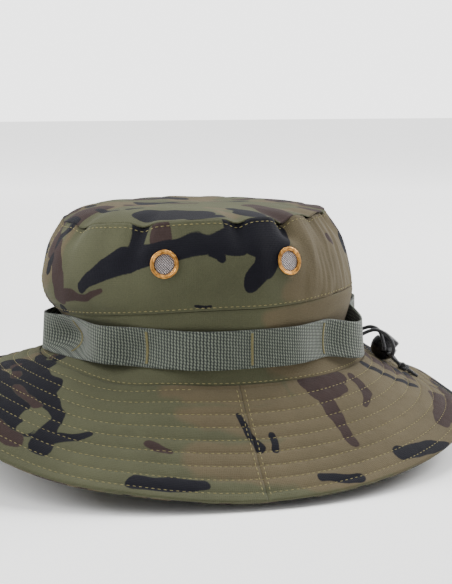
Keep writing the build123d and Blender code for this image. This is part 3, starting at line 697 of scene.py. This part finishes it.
# --- Making pieces -------------------------------------------------------------------------------
def finish_piece(name, bm, paint, slot, body="hat", replaced=(), smooth=True):
    """Turns a mesh in the making into a piece of the hat that rides on a body."""
    mesh = bpy.data.meshes.new(name)
    bm.to_mesh(mesh)
    bm.free()
    piece = bpy.data.objects.new(name, mesh)
    bpy.context.scene.collection.objects.link(piece)
    if smooth:
        mesh.shade_smooth()
    mesh.materials.append(paint_of(paint))
    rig.slot(piece, slot)
    if replaced:
        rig.replaces(piece, *replaced)
    if body:
        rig.ride(piece, body)
    return piece


def cloth_grid(columns, rows, place, spread, fields=None):
    """A sheet of cloth: a grid whose corners run from (0, 0) to (1, 1), laid out by place."""
    bm = bmesh.new()
    bmesh.ops.create_grid(bm, x_segments=columns, y_segments=rows, size=0.5)
    layout = bm.loops.layers.uv.new("cloth")
    marks = {colour: bm.verts.layers.float.new(colour) for colour in ("black", "brown", "khaki")} if fields else {}
    where = {}
    for vert in bm.verts:
        across, up = vert.co.x + 0.5, vert.co.y + 0.5
        where[vert] = (across, up)
        vert.co = place(across, up)
        if fields:
            for colour, depth in zip(("black", "brown", "khaki"), fields(across, up, vert.co)):
                vert[marks[colour]] = depth
    for face in bm.faces:
        for loop in face.loops:
            across, up = where[loop.vert]
            loop[layout].uv = spread(across, up)
    return bm


def face_outwards(bm, outward):
    """Turns the cloth over if its faces look the wrong way."""
    bm.normal_update()
    bm.faces.ensure_lookup_table()
    facing = sum(face.normal.dot(outward(face.calc_center_median())) for face in bm.faces)
    if facing < 0:
        bmesh.ops.reverse_faces(bm, faces=bm.faces[:])


def away_from_axis(point):
    return Vector((point.x, point.y, 0)).normalized()


def thicken(piece, thickness):
    modifier = piece.modifiers.new("cloth thickness", "SOLIDIFY")
    modifier.thickness = thickness * MM
    modifier.offset = -1
    return piece


def sew(name, segments, paint, slot, width=0.27, replaced=()):
    """Threads that lie on the cloth, each from a start to an end with the way the cloth faces."""
    bm = bmesh.new()
    for first in range(0, len(segments), 40):
        handful = bmesh.new()
        for start, end, outward in segments[first:first + 40]:
            ahead = (end - start).normalized()
            sideways = outward.cross(ahead).normalized()
            turned = Matrix((ahead, sideways, ahead.cross(sideways))).transposed().to_4x4()
            size = Matrix.Diagonal(((end - start).length * 0.5, width * MM, width * 0.8 * MM, 1))
            bmesh.ops.create_uvsphere(handful, u_segments=5, v_segments=4, radius=1,
                                      matrix=Matrix.Translation((start + end) / 2) @ turned @ size)
        part = bpy.data.meshes.new("handful")
        handful.to_mesh(part)
        handful.free()
        bm.from_mesh(part)
        bpy.data.meshes.remove(part)
    return finish_piece(name, bm, paint, slot, replaced=replaced)


def stitches(name, lines):
    """Short stitches along lines of (place, outward) that follow the cloth."""
    hat = bpy.context.scene.hat
    segments = []
    for line in lines:
        gone, due, start = 0.0, hat.stitch_gap, None
        for (a, out_a), (b, out_b) in zip(line, line[1:]):
            run = (b - a).length
            while run > 0 and due <= gone + run:
                share = (due - gone) / run
                spot = a.lerp(b, share)
                if start is None:
                    start, due = spot, due + hat.stitch
                    continue
                segments.append((start, spot, out_a.lerp(out_b, share)))
                start, due = None, due + hat.stitch_gap
            gone += run
    return sew(name, segments, "thread", "thread")


def spun(profile, steps=48):
    """A closed ring or disc: the profile of (radius, height) spun about the Z axis."""
    bm = bmesh.new()
    verts = [bm.verts.new((r * MM, 0, h * MM)) for r, h in profile]
    edges = [bm.edges.new((a, b)) for a, b in zip(verts, verts[1:])]
    if profile[0][0] > 0.01:
        edges.append(bm.edges.new((verts[-1], verts[0])))
    bmesh.ops.spin(bm, geom=verts + edges, cent=(0, 0, 0), axis=(0, 0, 1), angle=2 * pi, steps=steps,
                   use_merge=True, use_duplicate=False)
    bmesh.ops.remove_doubles(bm, verts=bm.verts[:], dist=1e-6)
    bmesh.ops.recalc_face_normals(bm, faces=bm.faces[:])
    layout = bm.loops.layers.uv.new("flat")
    for face in bm.faces:
        for loop in face.loops:
            loop[layout].uv = loop.vert.co.xy
    return bm


def facing_frame(node):
    """Where a flat round node lies, and the way it faces out of the hat."""
    mesh = nodes[node].data
    low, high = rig.box(node)
    middle = (low + high) / 2
    out = away_from_axis(middle)
    outward = Vector((0, 0, 0))
    for polygon in mesh.polygons:
        if polygon.normal.dot(out) > 0.3:
            outward += polygon.normal * polygon.area
    outward.normalize()
    flat = Vector((0, 0, 1)).cross(outward).normalized()
    turned = Matrix((flat, outward.cross(flat), outward)).transposed().to_4x4()
    return Matrix.Translation(middle) @ turned


# --- Places on the hat -----------------------------------------------------------------------
SIDES, ENDS = ("left", "right"), ("front", "rear")
VENTS = [facing_frame(f"vent_screen_{side}_{end}") for side in SIDES for end in ENDS]


def seam_climb(turn):
    """How much of the crown wall the band takes up: its top seam climbs towards the back."""
    climb = max(0.0, min(1.0, (near(turn, 0) - CLIMB_FROM) / CLIMB_OVER))
    return SEAM_CLIMB * climb * climb * (3 - 2 * climb)


def wall_spot(turn, share, lift=0.0):
    """A place on the crown wall's cloth, which lies still round the vents."""
    climb = seam_climb(turn)
    share = climb + share * (1 - climb)
    point = wall_point(turn, share)
    flat = lifted(turn, point, 0)
    nearest = min((flat - vent.translation).length for vent in VENTS) / MM
    calm = max(0.0, min(1.0, (nearest - 9) / 11))
    calm = calm * calm * (3 - 2 * calm)
    place = lifted(turn, point, wall_relief(turn, share) * calm + lift)
    place.z -= edge_drop(turn) * share ** 3 * calm * MM
    return place


def band_spot(turn, share, lift=0.0):
    relief = 0.25 * wave(turn, share * 40, 17, 16, 16) - 0.2
    relief -= 0.7 * exp(-((share - 1) / 0.03) ** 2) + 0.5 * exp(-(share / 0.02) ** 2)
    climb = seam_climb(turn)
    if share > 0.8 and climb:
        above = (share - 0.8) / 0.2
        level = 0.8 + above * (0.2 + climb * 5 / 4)
        point = band_point(turn, level) if level <= 1 else wall_point(turn, (level - 1) * 0.8)
        return lifted(turn, point, relief + lift)
    return lifted(turn, band_point(turn, share), relief + lift)


def brim_spot(turn, share, side=1, lift=0.0, quilted=1.0):
    """A place on the brim: side 1 is its top and -1 its underside."""
    width = blend(BRIM_WIDTH, turn)
    from_edge = width * (1 - share)
    waves = 1.7 * share * wave(turn, from_edge * 0.4, 13, 45, 60)
    rear_wave = REAR_WAVE * exp(-(near(turn, REAR_WAVE_TURN) / REAR_WAVE_SPREAD) ** 2)
    waves += rear_wave * max(0.0, min(1.0, share * 5))
    cloth_lift = (brim_quilt(turn, from_edge, share) * quilted + lift) * side
    depth = 0.0 if side > 0 else BRIM_THICKNESS
    return lifted(turn, brim_point(turn, share), waves - depth + cloth_lift)


def brim_quilt(turn, from_edge, share):
    """The pillows between the stitch rows and the small gathers beside them."""
    hat = bpy.context.scene.hat
    spacing, margin = hat.row_spacing / MM, hat.row_margin / MM
    phase = (from_edge - margin) / spacing
    row = abs(phase - round(phase)) * spacing
    pillow = 0.42 * sin(pi * min(1.0, row / spacing)) - 0.3 * exp(-(row / 0.8) ** 2)
    gathers = 0.30 * wave(turn, from_edge, 11, 4.5, 9) * exp(-((row - 1.3) / 2.2) ** 2)
    side_seam = min(near(turn, 90), near(turn, 270)) * radians(opening_radius(turn) + width_out(turn, share))
    return pillow + gathers - 0.55 * exp(-(side_seam / 0.7) ** 2)


def width_out(turn, share):
    return blend(BRIM_WIDTH, turn) * share


def brim_edge(turn, part, side):
    """The fold at the brim's edge, from its top or underside (0) to the middle (1)."""
    half = BRIM_THICKNESS / 2
    middle = (brim_spot(turn, 1, 1, 0, 0) + brim_spot(turn, 1, -1, 0, 0)) / 2
    _, _, down, level = brim_point(turn, 1)
    off, out = on_ring(turn, down, level), on_ring(turn, level, -down)
    start = brim_spot(turn, 1, side) - middle
    angle = part * pi / 2
    return middle + start * cos(angle) + out * half * sin(angle) * 0.8 + off * 0


def outward_at(turn, point):
    return on_ring(turn, point[2], point[3]).normalized()


def radius_at(points, height):
    """Radius of a profile at a height."""
    for (r0, z0), (r1, z1) in zip(points, points[1:]):
        if z0 <= height <= z1:
            return r0 + (r1 - r0) * (height - z0) / (z1 - z0)
    return points[0][0] if height < points[0][1] else points[-1][0]


def ring_of_turns():
    """Turns round the band, starting at the middle of the left side, with their distance along it."""
    places, length, last = [], 0.0, None
    for index in range(721):
        turn = 90 + index / 2
        spot = on_ring(turn, band_point(turn, 0.5)[0], 0)
        length += (spot - last).length / MM if last else 0.0
        last = spot
        places.append((length, turn))
    return places


RING = ring_of_turns()
LOOP_LENGTH = RING[-1][0] / LOOPS


def turn_at(distance):
    laps, rest = divmod(distance, RING[-1][0])
    index = min(int(rest / RING[-1][0] * 720), 719)
    while index > 0 and RING[index][0] > rest:
        index -= 1
    while index < 719 and RING[index + 1][0] < rest:
        index += 1
    (d0, t0), (d1, t1) = RING[index], RING[index + 1]
    return t0 + (t1 - t0) * (rest - d0) / (d1 - d0) + 360 * laps


COLUMNS = {}


def tack_place(loops):
    """Distance round the band of a place counted in loops; between tacks it runs on smoothly."""
    index, part = int(loops) % LOOPS, loops % 1
    ahead = part * part * (3 - 2 * part)
    shift = TACK_SHIFT[index] * (1 - ahead) + TACK_SHIFT[(index + 1) % LOOPS] * ahead
    return FIRST_TACK + loops * LOOP_LENGTH + shift


def webbing_column(loops):
    """What the webbing does at a place counted in loops: turn, slack, foot and its lean."""
    if loops not in COLUMNS:
        turn = turn_at(tack_place(loops + 1e-9))
        index = int(loops + 1e-9) % LOOPS
        slack = sin(pi * (loops % 1)) ** 2
        band = [band_point(turn, step / 24)[:2] for step in range(25)]
        foot = blend(WEBBING_FOOT, turn) - LOOP_DROOP[index] * slack
        straight_top = radius_at(band, foot + WEBBING_WIDTH) + LOOP_STAND_OFF[index]
        straight_foot = max(straight_top + LOOP_FLARE, radius_at(band, foot) + 1.0)
        COLUMNS[loops] = turn, slack, foot, band, straight_top, straight_foot
    return COLUMNS[loops]


def webbing_spot(loops, up, lift=0.0):
    """A place on the outside of the webbing."""
    turn, slack, foot, band, straight_top, straight_foot = webbing_column(loops)
    height = foot + WEBBING_WIDTH * up
    straight = straight_foot + (straight_top - straight_foot) * up
    snug = radius_at(band, height) + SEAM_GAP + 0.2
    ripple = 0.35 * slack * wave(turn, up * 20, 23, 9, 30)
    radius = snug + (max(straight, snug) - snug) * slack + WEBBING_THICKNESS + ripple + lift
    return on_ring(turn, radius, height)


# --- Operators -------------------------------------------------------------------------------
class HAT_OT_crown(bpy.types.Operator):
    """Sew the two crown walls, the base band and the top panel"""
    bl_idname = "hat.crown"
    bl_label = "Crown"

    def execute(self, context):
        for side, first in (("left", 0), ("right", 180)):
            bm = cloth_grid(
                300, 60, lambda across, up: wall_spot(first + 180 * across, up),
                lambda across, up: (across * 0.3, up * 0.055),
                lambda across, up, spot: print_fields(
                    WALL_STROKES, first + 180 * across, wall_height(first + 180 * across, up), 1.6, spot, 2))
            holes = [face for face in bm.faces if min((face.calc_center_median() - vent.translation).length
                                                      for vent in VENTS) < 6.3 * MM]
            bmesh.ops.delete(bm, geom=holes, context="FACES")
            face_outwards(bm, away_from_axis)
            thicken(finish_piece(f"wall_cloth_{side}", bm, "printed", "camouflage_cloth",
                                 replaced=[f"crown_wall_{side}"]), CLOTH)
        bm = cloth_grid(
            480, 40, lambda across, up: band_spot(360 * across, up), lambda across, up: (across * 0.58, up * 0.045),
            lambda across, up, spot: print_fields(BAND_STROKES, 360 * across, spot.z / MM, 1.6, spot, 6))
        bmesh.ops.remove_doubles(bm, verts=bm.verts[:], dist=1e-6)
        face_outwards(bm, away_from_axis)
        thicken(finish_piece("band_cloth", bm, "printed", "camouflage_cloth", replaced=["base_band"]), CLOTH)
        bm = cloth_grid(
            360, 64, lambda across, up: panel_point(360 * across, up),
            lambda across, up: (up * 0.1 * sin(2 * pi * across), up * 0.1 * cos(2 * pi * across)),
            lambda across, up, spot: print_fields(PANEL_STROKES, 360 * across, up * 100, 1.2, spot, 9))
        bmesh.ops.remove_doubles(bm, verts=bm.verts[:], dist=1e-6)
        face_outwards(bm, lambda place: Vector((0, 0, 1)))
        thicken(finish_piece("panel_cloth", bm, "printed", "camouflage_cloth", replaced=["top_panel"]), CLOTH)
        return {"FINISHED"}


def wall_height(turn, share):
    return blend(BAND_TOP, turn) + share * (blend(CROWN_EDGE, turn) - blend(BAND_TOP, turn))


class HAT_OT_brim(bpy.types.Operator):
    """Lay the brim's two faces of cloth and the interlining between them"""
    bl_idname = "hat.brim"
    bl_label = "Brim"

    def ply(self, end, first, side):
        """One face of half the brim, with its share of the folded edge."""
        flat = 0.96

        def place(across, up):
            turn = first + 180 * across
            if up <= flat:
                return brim_spot(turn, up / flat * 1.012 - 0.012, side)
            return brim_edge(turn, (up - flat) / (1 - flat), side)

        def fields(across, up, spot):
            turn = first + 180 * across
            if side < 0:
                return print_fields(None, turn, up * 80, 2.4, spot, 14)
            return print_fields(BRIM_STROKES, turn, up / flat * blend(BRIM_WIDTH, turn), 2.3, spot, 4)

        bm = cloth_grid(330 if side > 0 else 240, 84 if side > 0 else 60, place,
                        lambda across, up: (across * 0.45, up * 0.08), fields)
        face_outwards(bm, lambda spot: Vector((0, 0, side)))
        face = "top" if side > 0 else "under"
        piece = finish_piece(f"brim_{face}_cloth_{end}", bm, "printed", "camouflage_cloth",
                             replaced=[f"brim_{face}_{end}"])
        thicken(piece, BRIM_CLOTH)

    def execute(self, context):
        for end, first in (("front", -90), ("rear", 90)):
            self.ply(end, first, 1)
            self.ply(end, first, -1)
        bm = cloth_grid(240, 20, lambda across, up: brim_spot(360 * across, 0.02 + up * 0.965, 1, -0.75, 0),
                        lambda across, up: (across, up * 0.08))
        bmesh.ops.remove_doubles(bm, verts=bm.verts[:], dist=1e-6)
        face_outwards(bm, lambda spot: Vector((0, 0, 1)))
        thicken(finish_piece("brim_stiffener", bm, "core", "interlining", replaced=["brim_interlining"]), 0.7)
        return {"FINISHED"}


class HAT_OT_stitching(bpy.types.Operator):
    """Sew the rows of stitches on the brim and along the seams"""
    bl_idname = "hat.stitching"
    bl_label = "Stitching"

    def brim_row(self, row, side):
        line = []
        for turn in range(-180, 181):
            share = brim_rows(turn)[row] / blend(BRIM_WIDTH, turn)
            if share < 0.02:
                continue
            outward = outward_at(turn, brim_point(turn, share)) * side
            line.append((brim_spot(turn, share, side, 0.12), outward))
        return line

    def execute(self, context):
        for side, face in ((1, "top"), (-1, "under")):
            for part, rows in (("outer", range(0, 4)), ("inner", range(4, 9))):
                stitches(f"brim_{face}_stitches_{part}", [self.brim_row(row, side) for row in rows])
        seams = []
        for share in (0.965, 0.045):
            seams.append([(wall_spot(turn, share, 0.1), outward_at(turn, wall_point(turn, share)))
                          for turn in range(0, 361)])
        seams.append([(band_spot(turn, 0.055, 0.1), outward_at(turn, band_point(turn, 0.055)))
                      for turn in range(0, 361)])
        for middle in (0, 180):
            for side in (-1, 1):
                turn = middle + side * 1.3
                seams.append([(wall_spot(turn, step / 40, 0.1), outward_at(turn, wall_point(turn, step / 40)))
                              for step in range(41)])
        stitches("crown_seam_stitches", seams)
        sides = []
        for middle in (90, 270):
            for shift in (-2.4, 2.4):
                line = []
                for step in range(1, 60):
                    share = step / 60
                    turn = middle + degrees(shift / (opening_radius(middle) + width_out(middle, share)))
                    line.append((brim_spot(turn, share, 1, 0.12), outward_at(turn, brim_point(turn, share))))
                sides.append(line)
        stitches("brim_side_seam_stitches", sides)
        return {"FINISHED"}


class HAT_OT_webbing(bpy.types.Operator):
    """Lay the loop webbing round the band and tack it down"""
    bl_idname = "hat.webbing"
    bl_label = "Foliage webbing"

    def execute(self, context):
        bm = cloth_grid(500, 16, lambda across, up: webbing_spot(LOOPS * across, up),
                        lambda across, up: (across * LOOPS * LOOP_LENGTH * MM, up * WEBBING_WIDTH * MM))
        bmesh.ops.remove_doubles(bm, verts=bm.verts[:], dist=1e-6)
        face_outwards(bm, away_from_axis)
        thicken(finish_piece("loop_webbing", bm, "webbing", "webbing", replaced=["foliage_webbing"]),
                WEBBING_THICKNESS)
        zigzag = []
        for tack in range(LOOPS):
            corners = []
            for step in range(43):
                loops = tack + (1 if step % 2 else -1) * 0.95 / LOOP_LENGTH
                corners.append(webbing_spot(loops % LOOPS, 0.08 + 0.84 * step / 42, 0.14))
            outward = away_from_axis(corners[0])
            zigzag += [(a, b, outward) for a, b in zip(corners, corners[1:])]
            for side in (-1, 1):
                loops = (tack + side * 0.5 / LOOP_LENGTH) % LOOPS
                spots = [webbing_spot(loops, 0.08 + 0.84 * step / 10, 0.06) for step in range(11)]
                zigzag += [(a, b, outward) for a, b in zip(spots, spots[1:])]
        sew("tack_threads", zigzag, "tack", "thread", 0.36, replaced=["bartacks"])
        return {"FINISHED"}


class HAT_OT_vents(bpy.types.Operator):
    """Set the brass vents with their wire cloth"""
    bl_idname = "hat.vents"
    bl_label = "Vents"

    def execute(self, context):
        ring = [(8.2, -0.2), (8.4, 0.05), (8.42, 0.35), (8.25, 0.65), (7.9, 0.82), (7.5, 0.84), (7.2, 0.7),
                (7.0, 0.45), (6.85, 0.42), (6.7, 0.62), (6.45, 0.68), (6.2, 0.55), (6.05, 0.25), (5.95, -0.1),
                (5.9, -1.4), (6.3, -1.4), (6.4, -0.25)]
        dome = [(0.02, 0.32), (1.2, 0.31), (2.4, 0.27), (3.6, 0.2), (4.8, 0.1), (6.0, -0.05), (6.0, -0.15),
                (0.02, -0.1)]
        for side in SIDES:
            for end in ENDS:
                where = facing_frame(f"vent_screen_{side}_{end}")
                for name, profile, paint, slot, node in (
                        ("vent_rim", ring, "brass", "brass", "vent_flange"),
                        ("vent_wire", dome, "wire", "mesh", "vent_screen")):
                    bm = spun(profile)
                    bm.transform(where)
                    finish_piece(f"{name}_{side}_{end}", bm, paint, slot, replaced=[f"{node}_{side}_{end}"])
                nodes[f"vent_washer_{side}_{end}"].data.materials.clear()
                nodes[f"vent_washer_{side}_{end}"].data.materials.append(paint_of("brass"))
        return {"FINISHED"}


# The drawcord's route is given by the same points as the modelled cord, in millimetres.
CORD, EXIT_SPREAD, EXIT_SHARE = 2.4, 4.2, 3 / 24
BALL_RADIUS, BALL_STAND_OFF, BALL_FROM_SEAM, HOLE_SPACING, HOLE_DROP = 8.75, 0.7, 15.0, 4.4, 1.4
KNOT_RADIUS, KNOT_FROM_SEAM = 3.4, 36.0


def rear_brim_place(from_seam, stand_off, side_shift):
    """A place over the middle of the rear brim in millimetres, and the brim's slope there."""
    slope_in, slope_out = BRIM_SLOPE_IN[2], BRIM_SLOPE_OUT[2]
    slope = radians(slope_in + (slope_out - slope_in) * from_seam / BRIM_WIDTH[2])
    mean = radians(slope_in) / 2 + slope / 2
    y = HALF_LENGTH + SEAM_GAP + from_seam * cos(mean) + stand_off * sin(slope)
    return Vector((side_shift, y, SEAM_HEIGHT[2] - from_seam * sin(mean) + stand_off * cos(slope))), slope


def cord_exit(side):
    """Where the cord leaves the band in millimetres, and the way it leaves."""
    turn = 180 - side * degrees(EXIT_SPREAD / HALF_LENGTH)
    r, z, nr, nz = band_point(turn, EXIT_SHARE)
    return on_ring(turn, r, z) / MM, on_ring(turn, nr, nz).normalized()


BALL, _ = rear_brim_place(BALL_FROM_SEAM, BALL_RADIUS + BALL_STAND_OFF, 1.5)
KNOT, KNOT_SLOPE = rear_brim_place(KNOT_FROM_SEAM, KNOT_RADIUS + 0.6, -1.0)
LEAN = Vector((0.154, 0.617, 0.773)).normalized()
HOLE_AXIS = (Vector((1, 0, 0)) - LEAN * LEAN.x).normalized()
HOLE_SIDE = LEAN.cross(HOLE_AXIS)
BENDS = {
    "left": ([(5.2, 109.2, 9.8), (8.5, 114.5, 12.0), (14.5, 120.5, 8.5), (18.2, 123.6, 1.5)], 16.0, 14.0,
             [(-8.0, 129.5, -8.5)]),
    "right": ([(-3.6, 109.0, 10.3), (0.5, 114.0, 12.6), (6.5, 117.2, 11.0), (11.6, 117.6, 6.0)], 13.5, 16.0,
              [(-15.0, 128.0, -4.0), (-11.0, 134.0, -10.5)]),
}


def route_curve(points, radius=0.0):
    """A smooth curve guided by the points, in millimetres, as a mesh; a tube if it has a radius."""
    curve = bpy.data.curves.new("route", "CURVE")
    curve.dimensions = "3D"
    curve.resolution_u = 10
    curve.bevel_depth = radius * MM
    curve.bevel_resolution = 3
    curve.use_fill_caps = True
    spline = curve.splines.new("NURBS")
    spline.points.add(len(points) - 1)
    for control, point in zip(spline.points, points):
        control.co = (*(Vector(point) * MM), 1)
    spline.order_u = 3
    spline.use_endpoint_u = True
    holder = bpy.data.objects.new("route", curve)
    bpy.context.scene.collection.objects.link(holder)
    mesh = bpy.data.meshes.new_from_object(holder.evaluated_get(bpy.context.evaluated_depsgraph_get()))
    bpy.data.objects.remove(holder)
    return mesh


def cord_piece(name, points, node=None):
    """A length of cord along a route, and the points of its centreline."""
    line = [vert.co.copy() for vert in route_curve(points).vertices]
    bm = bmesh.new()
    bm.from_mesh(route_curve(points, CORD / 2))
    layout = bm.loops.layers.uv.verify()
    lengths = [0.0]
    for a, b in zip(line, line[1:]):
        lengths.append(lengths[-1] + (b - a).length)
    for face in bm.faces:
        for loop in face.loops:
            co = loop.vert.co
            index = min(range(len(line)), key=lambda i: (line[i] - co).length_squared)
            away = co - line[index]
            loop[layout].uv = (lengths[index], atan2(away.z, away.dot(HOLE_SIDE)) / (2 * pi))
    bmesh.ops.recalc_face_normals(bm, faces=bm.faces[:])
    piece = finish_piece(name, bm, "cord", "cord", body=None, replaced=[node] if node else ())
    return piece, line, lengths[-1]


class HAT_OT_drawcord(bpy.types.Operator):
    """Run the free ends of the drawcord through the cord lock to the knot"""
    bl_idname = "hat.drawcord"
    bl_label = "Drawcord"

    def execute(self, context):
        down, off = Vector((0, cos(KNOT_SLOPE), -sin(KNOT_SLOPE))), Vector((0, sin(KNOT_SLOPE), cos(KNOT_SLOPE)))
        across, knot = Vector((1, 0, 0)), KNOT
        bm = bmesh.new()
        loop = []
        for step in range(37):
            a = 2 * pi * step / 36
            loop.append(knot + (across * (sin(a) + 2 * sin(2 * a)) + down * (cos(a) - 2 * cos(2 * a))) * 0.95
                        - off * sin(3 * a) * 1.3)
        bm.from_mesh(route_curve(loop, CORD / 2))
        for drift in (-1, 1):
            tail = [knot + across * drift * 1.2, knot + across * drift * 1.8 + down * 5 - off * 0.6,
                    knot + across * drift * 2.2 + down * 8 - off * 1.5,
                    knot + across * drift * 3 + down * 10.6 - off * 1.7]
            bm.from_mesh(route_curve(tail, CORD / 2))
        bmesh.ops.recalc_face_normals(bm, faces=bm.faces[:])
        tied = finish_piece("cord_knot_tied", bm, "cord", "cord", replaced=["cord_knot"])
        for name, side in (("left", 1), ("right", -1)):
            bends, reach_in, reach_out, after = BENDS[name]
            start, outward = cord_exit(side)
            hole = BALL + HOLE_SIDE * side * HOLE_SPACING / 2 - LEAN * HOLE_DROP
            entry, leave = hole + HOLE_AXIS * reach_in, hole - HOLE_AXIS * reach_out
            near_end = [start - outward * 1.1, start + outward * 4.5, *[Vector(b) for b in bends], entry, hole]
            far_end = [hole, leave, *[Vector(b) for b in after], knot - down * 3.25 + across * side * 1.4]
            first, line, length = cord_piece(f"cord_{name}_to_lock", near_end, f"drawcord_{name}")
            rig.blend(first, "hat", "cord_lock", start * MM, (BALL - down * 2) * MM)
            second, line_b, length_b = cord_piece(f"cord_{name}_to_knot", far_end)
            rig.blend(second, "cord_lock", "hat", (BALL + down * 2) * MM, (knot - down * 4) * MM)
            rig.cord(first, exit=line[0], length=length, diameter=CORD * MM, far_end="object", stiffness="limp",
                    lay="loose", path=line, with_pieces=[nodes["cord_lock_body"], nodes["cord_lock_plunger"]]
                    if side > 0 else [])
            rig.cord(second, exit=line_b[0], length=length_b, diameter=CORD * MM, far_end="knot", stiffness="limp",
                    lay="loose", path=line_b, with_pieces=[tied] if side > 0 else [])
            print("cord", name, round(length + length_b, 4))
        for node, paint in (("cord_lock_body", "plastic"), ("cord_lock_plunger", "button"),
                            ("cord_lock_spring", "steel"), ("drawcord_tunnel", "cord"), ("sweatband", "lining")):
            nodes[node].data.materials.clear()
            nodes[node].data.materials.append(paint_of(paint))
        for side in SIDES:
            where = facing_frame(f"cord_eyelet_{side}")
            spokes = []
            for step in range(26):
                a = 2 * pi * step / 26
                out = Vector((cos(a), sin(a), 0))
                spokes.append((where @ (out * 1.5 * MM + Vector((0, 0, 0.35 * MM))),
                               where @ (out * 3.2 * MM + Vector((0, 0, 0.5 * MM))), where.col[2].xyz))
            sew(f"eyelet_threads_{side}", spokes, "eyelet", "thread_eyelet", 0.42, replaced=[f"cord_eyelet_{side}"])
        return {"FINISHED"}


SKY_LIGHT, SKY_SEEN = 0.48, 3.2
FLOOR_GLOW, GLOW_FROM, GLOW_TO = 1.6, 0.5, 2.0


class HAT_OT_stage(bpy.types.Operator):
    """Set the floor, the lights and the camera"""
    bl_idname = "hat.stage"
    bl_label = "Stage"

    def execute(self, context):
        floor_height = cad_box[0][2] - 0.004
        bm = bmesh.new()
        bmesh.ops.create_grid(bm, x_segments=2, y_segments=2, size=6)
        bmesh.ops.translate(bm, vec=(0, 0, floor_height), verts=bm.verts[:])
        mesh = bpy.data.meshes.new("floor")
        bm.to_mesh(mesh)
        bm.free()
        floor = bpy.data.objects.new("floor", mesh)
        context.scene.collection.objects.link(floor)
        surface = Paint("pale floor", roughness=0.95, Specular_IOR_Level=0.1,
                        Emission_Strength=FLOOR_GLOW)
        length = surface.node("ShaderNodeVectorMath", {"operation": "LENGTH"}, {0: surface.coordinate()})
        away = Socket(surface, length.outputs["Value"])
        glow = surface.mix(away.step(GLOW_FROM, GLOW_TO), (0, 0, 0), (1, 1, 1))
        surface.feed(surface.shader.inputs["Emission Color"], glow)
        mesh.materials.append(surface.base(dye(252, 252, 251)))
        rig.stage(floor)
        sky = bpy.data.worlds.new("studio")
        context.scene.world = sky
        sky.use_nodes = True
        sky.node_tree.nodes["Background"].inputs["Color"].default_value = (1, 1, 1, 1)
        seen = sky.node_tree.nodes.new("ShaderNodeLightPath")
        strength = sky.node_tree.nodes.new("ShaderNodeMapRange")
        strength.inputs["To Min"].default_value = SKY_LIGHT
        strength.inputs["To Max"].default_value = SKY_SEEN
        sky.node_tree.links.new(seen.outputs["Is Camera Ray"], strength.inputs["Value"])
        sky.node_tree.links.new(strength.outputs[0], sky.node_tree.nodes["Background"].inputs["Strength"])
        lights = (("left", (-0.2, -1.5, 1.1), 42, 1.0), ("right", (-0.3, 1.5, 1.0), 46, 1.0),
                  ("front", (1.5, 0.1, 0.9), 4, 1.5), ("top", (-0.2, 0.1, 1.9), 34, 1.0))
        for name, place, power, size in lights:
            light = bpy.data.lights.new(name, "AREA")
            light.energy, light.size = power, size
            lamp = bpy.data.objects.new(name, light)
            lamp.location = place
            lamp.rotation_euler = (Vector((0, 0, 0.03)) - Vector(place)).to_track_quat("-Z", "Y").to_euler()
            context.scene.collection.objects.link(lamp)
        camera = bpy.data.cameras.new("camera")
        camera.lens, camera.sensor_width = 87.2, 36
        camera.shift_x, camera.shift_y = 0.039, -0.015
        holder = bpy.data.objects.new("camera", camera)
        holder.location = (0.8636, -0.2153, 0.178)
        aim = Vector((0, 0, 0.045)) - Vector(holder.location)
        holder.rotation_euler = aim.to_track_quat("-Z", "Y").to_euler()
        context.scene.collection.objects.link(holder)
        context.scene.camera = holder
        return {"FINISHED"}


class HAT_PT_panel(bpy.types.Panel):
    bl_idname = "HAT_PT_panel"
    bl_label = "Boonie hat"
    bl_space_type = "VIEW_3D"
    bl_region_type = "UI"
    bl_category = "Boonie hat"

    def draw(self, context):
        for operator in STEPS:
            self.layout.operator(operator.bl_idname)
        for name in HatSettings.__annotations__:
            self.layout.prop(context.scene.hat, name)


STEPS = (HAT_OT_stage, HAT_OT_drawcord, HAT_OT_crown, HAT_OT_brim, HAT_OT_webbing, HAT_OT_vents, HAT_OT_stitching)
CLASSES = (HatSettings, *STEPS, HAT_PT_panel)


def register():
    for item in CLASSES:
        bpy.utils.register_class(item)
    bpy.types.Scene.hat = bpy.props.PointerProperty(type=HatSettings)


def unregister():
    del bpy.types.Scene.hat
    for item in reversed(CLASSES):
        bpy.utils.unregister_class(item)


def main():
    register()
    for step in STEPS:
        group, name = step.bl_idname.split(".")
        getattr(getattr(bpy.ops, group), name)()
    with open("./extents.json", "w") as file:
        json.dump({"cad": [list(corner) for corner in cad_box],
                   "visual": [list(corner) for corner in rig.bounds()]}, file)


if __name__ == "__main__":
    main()
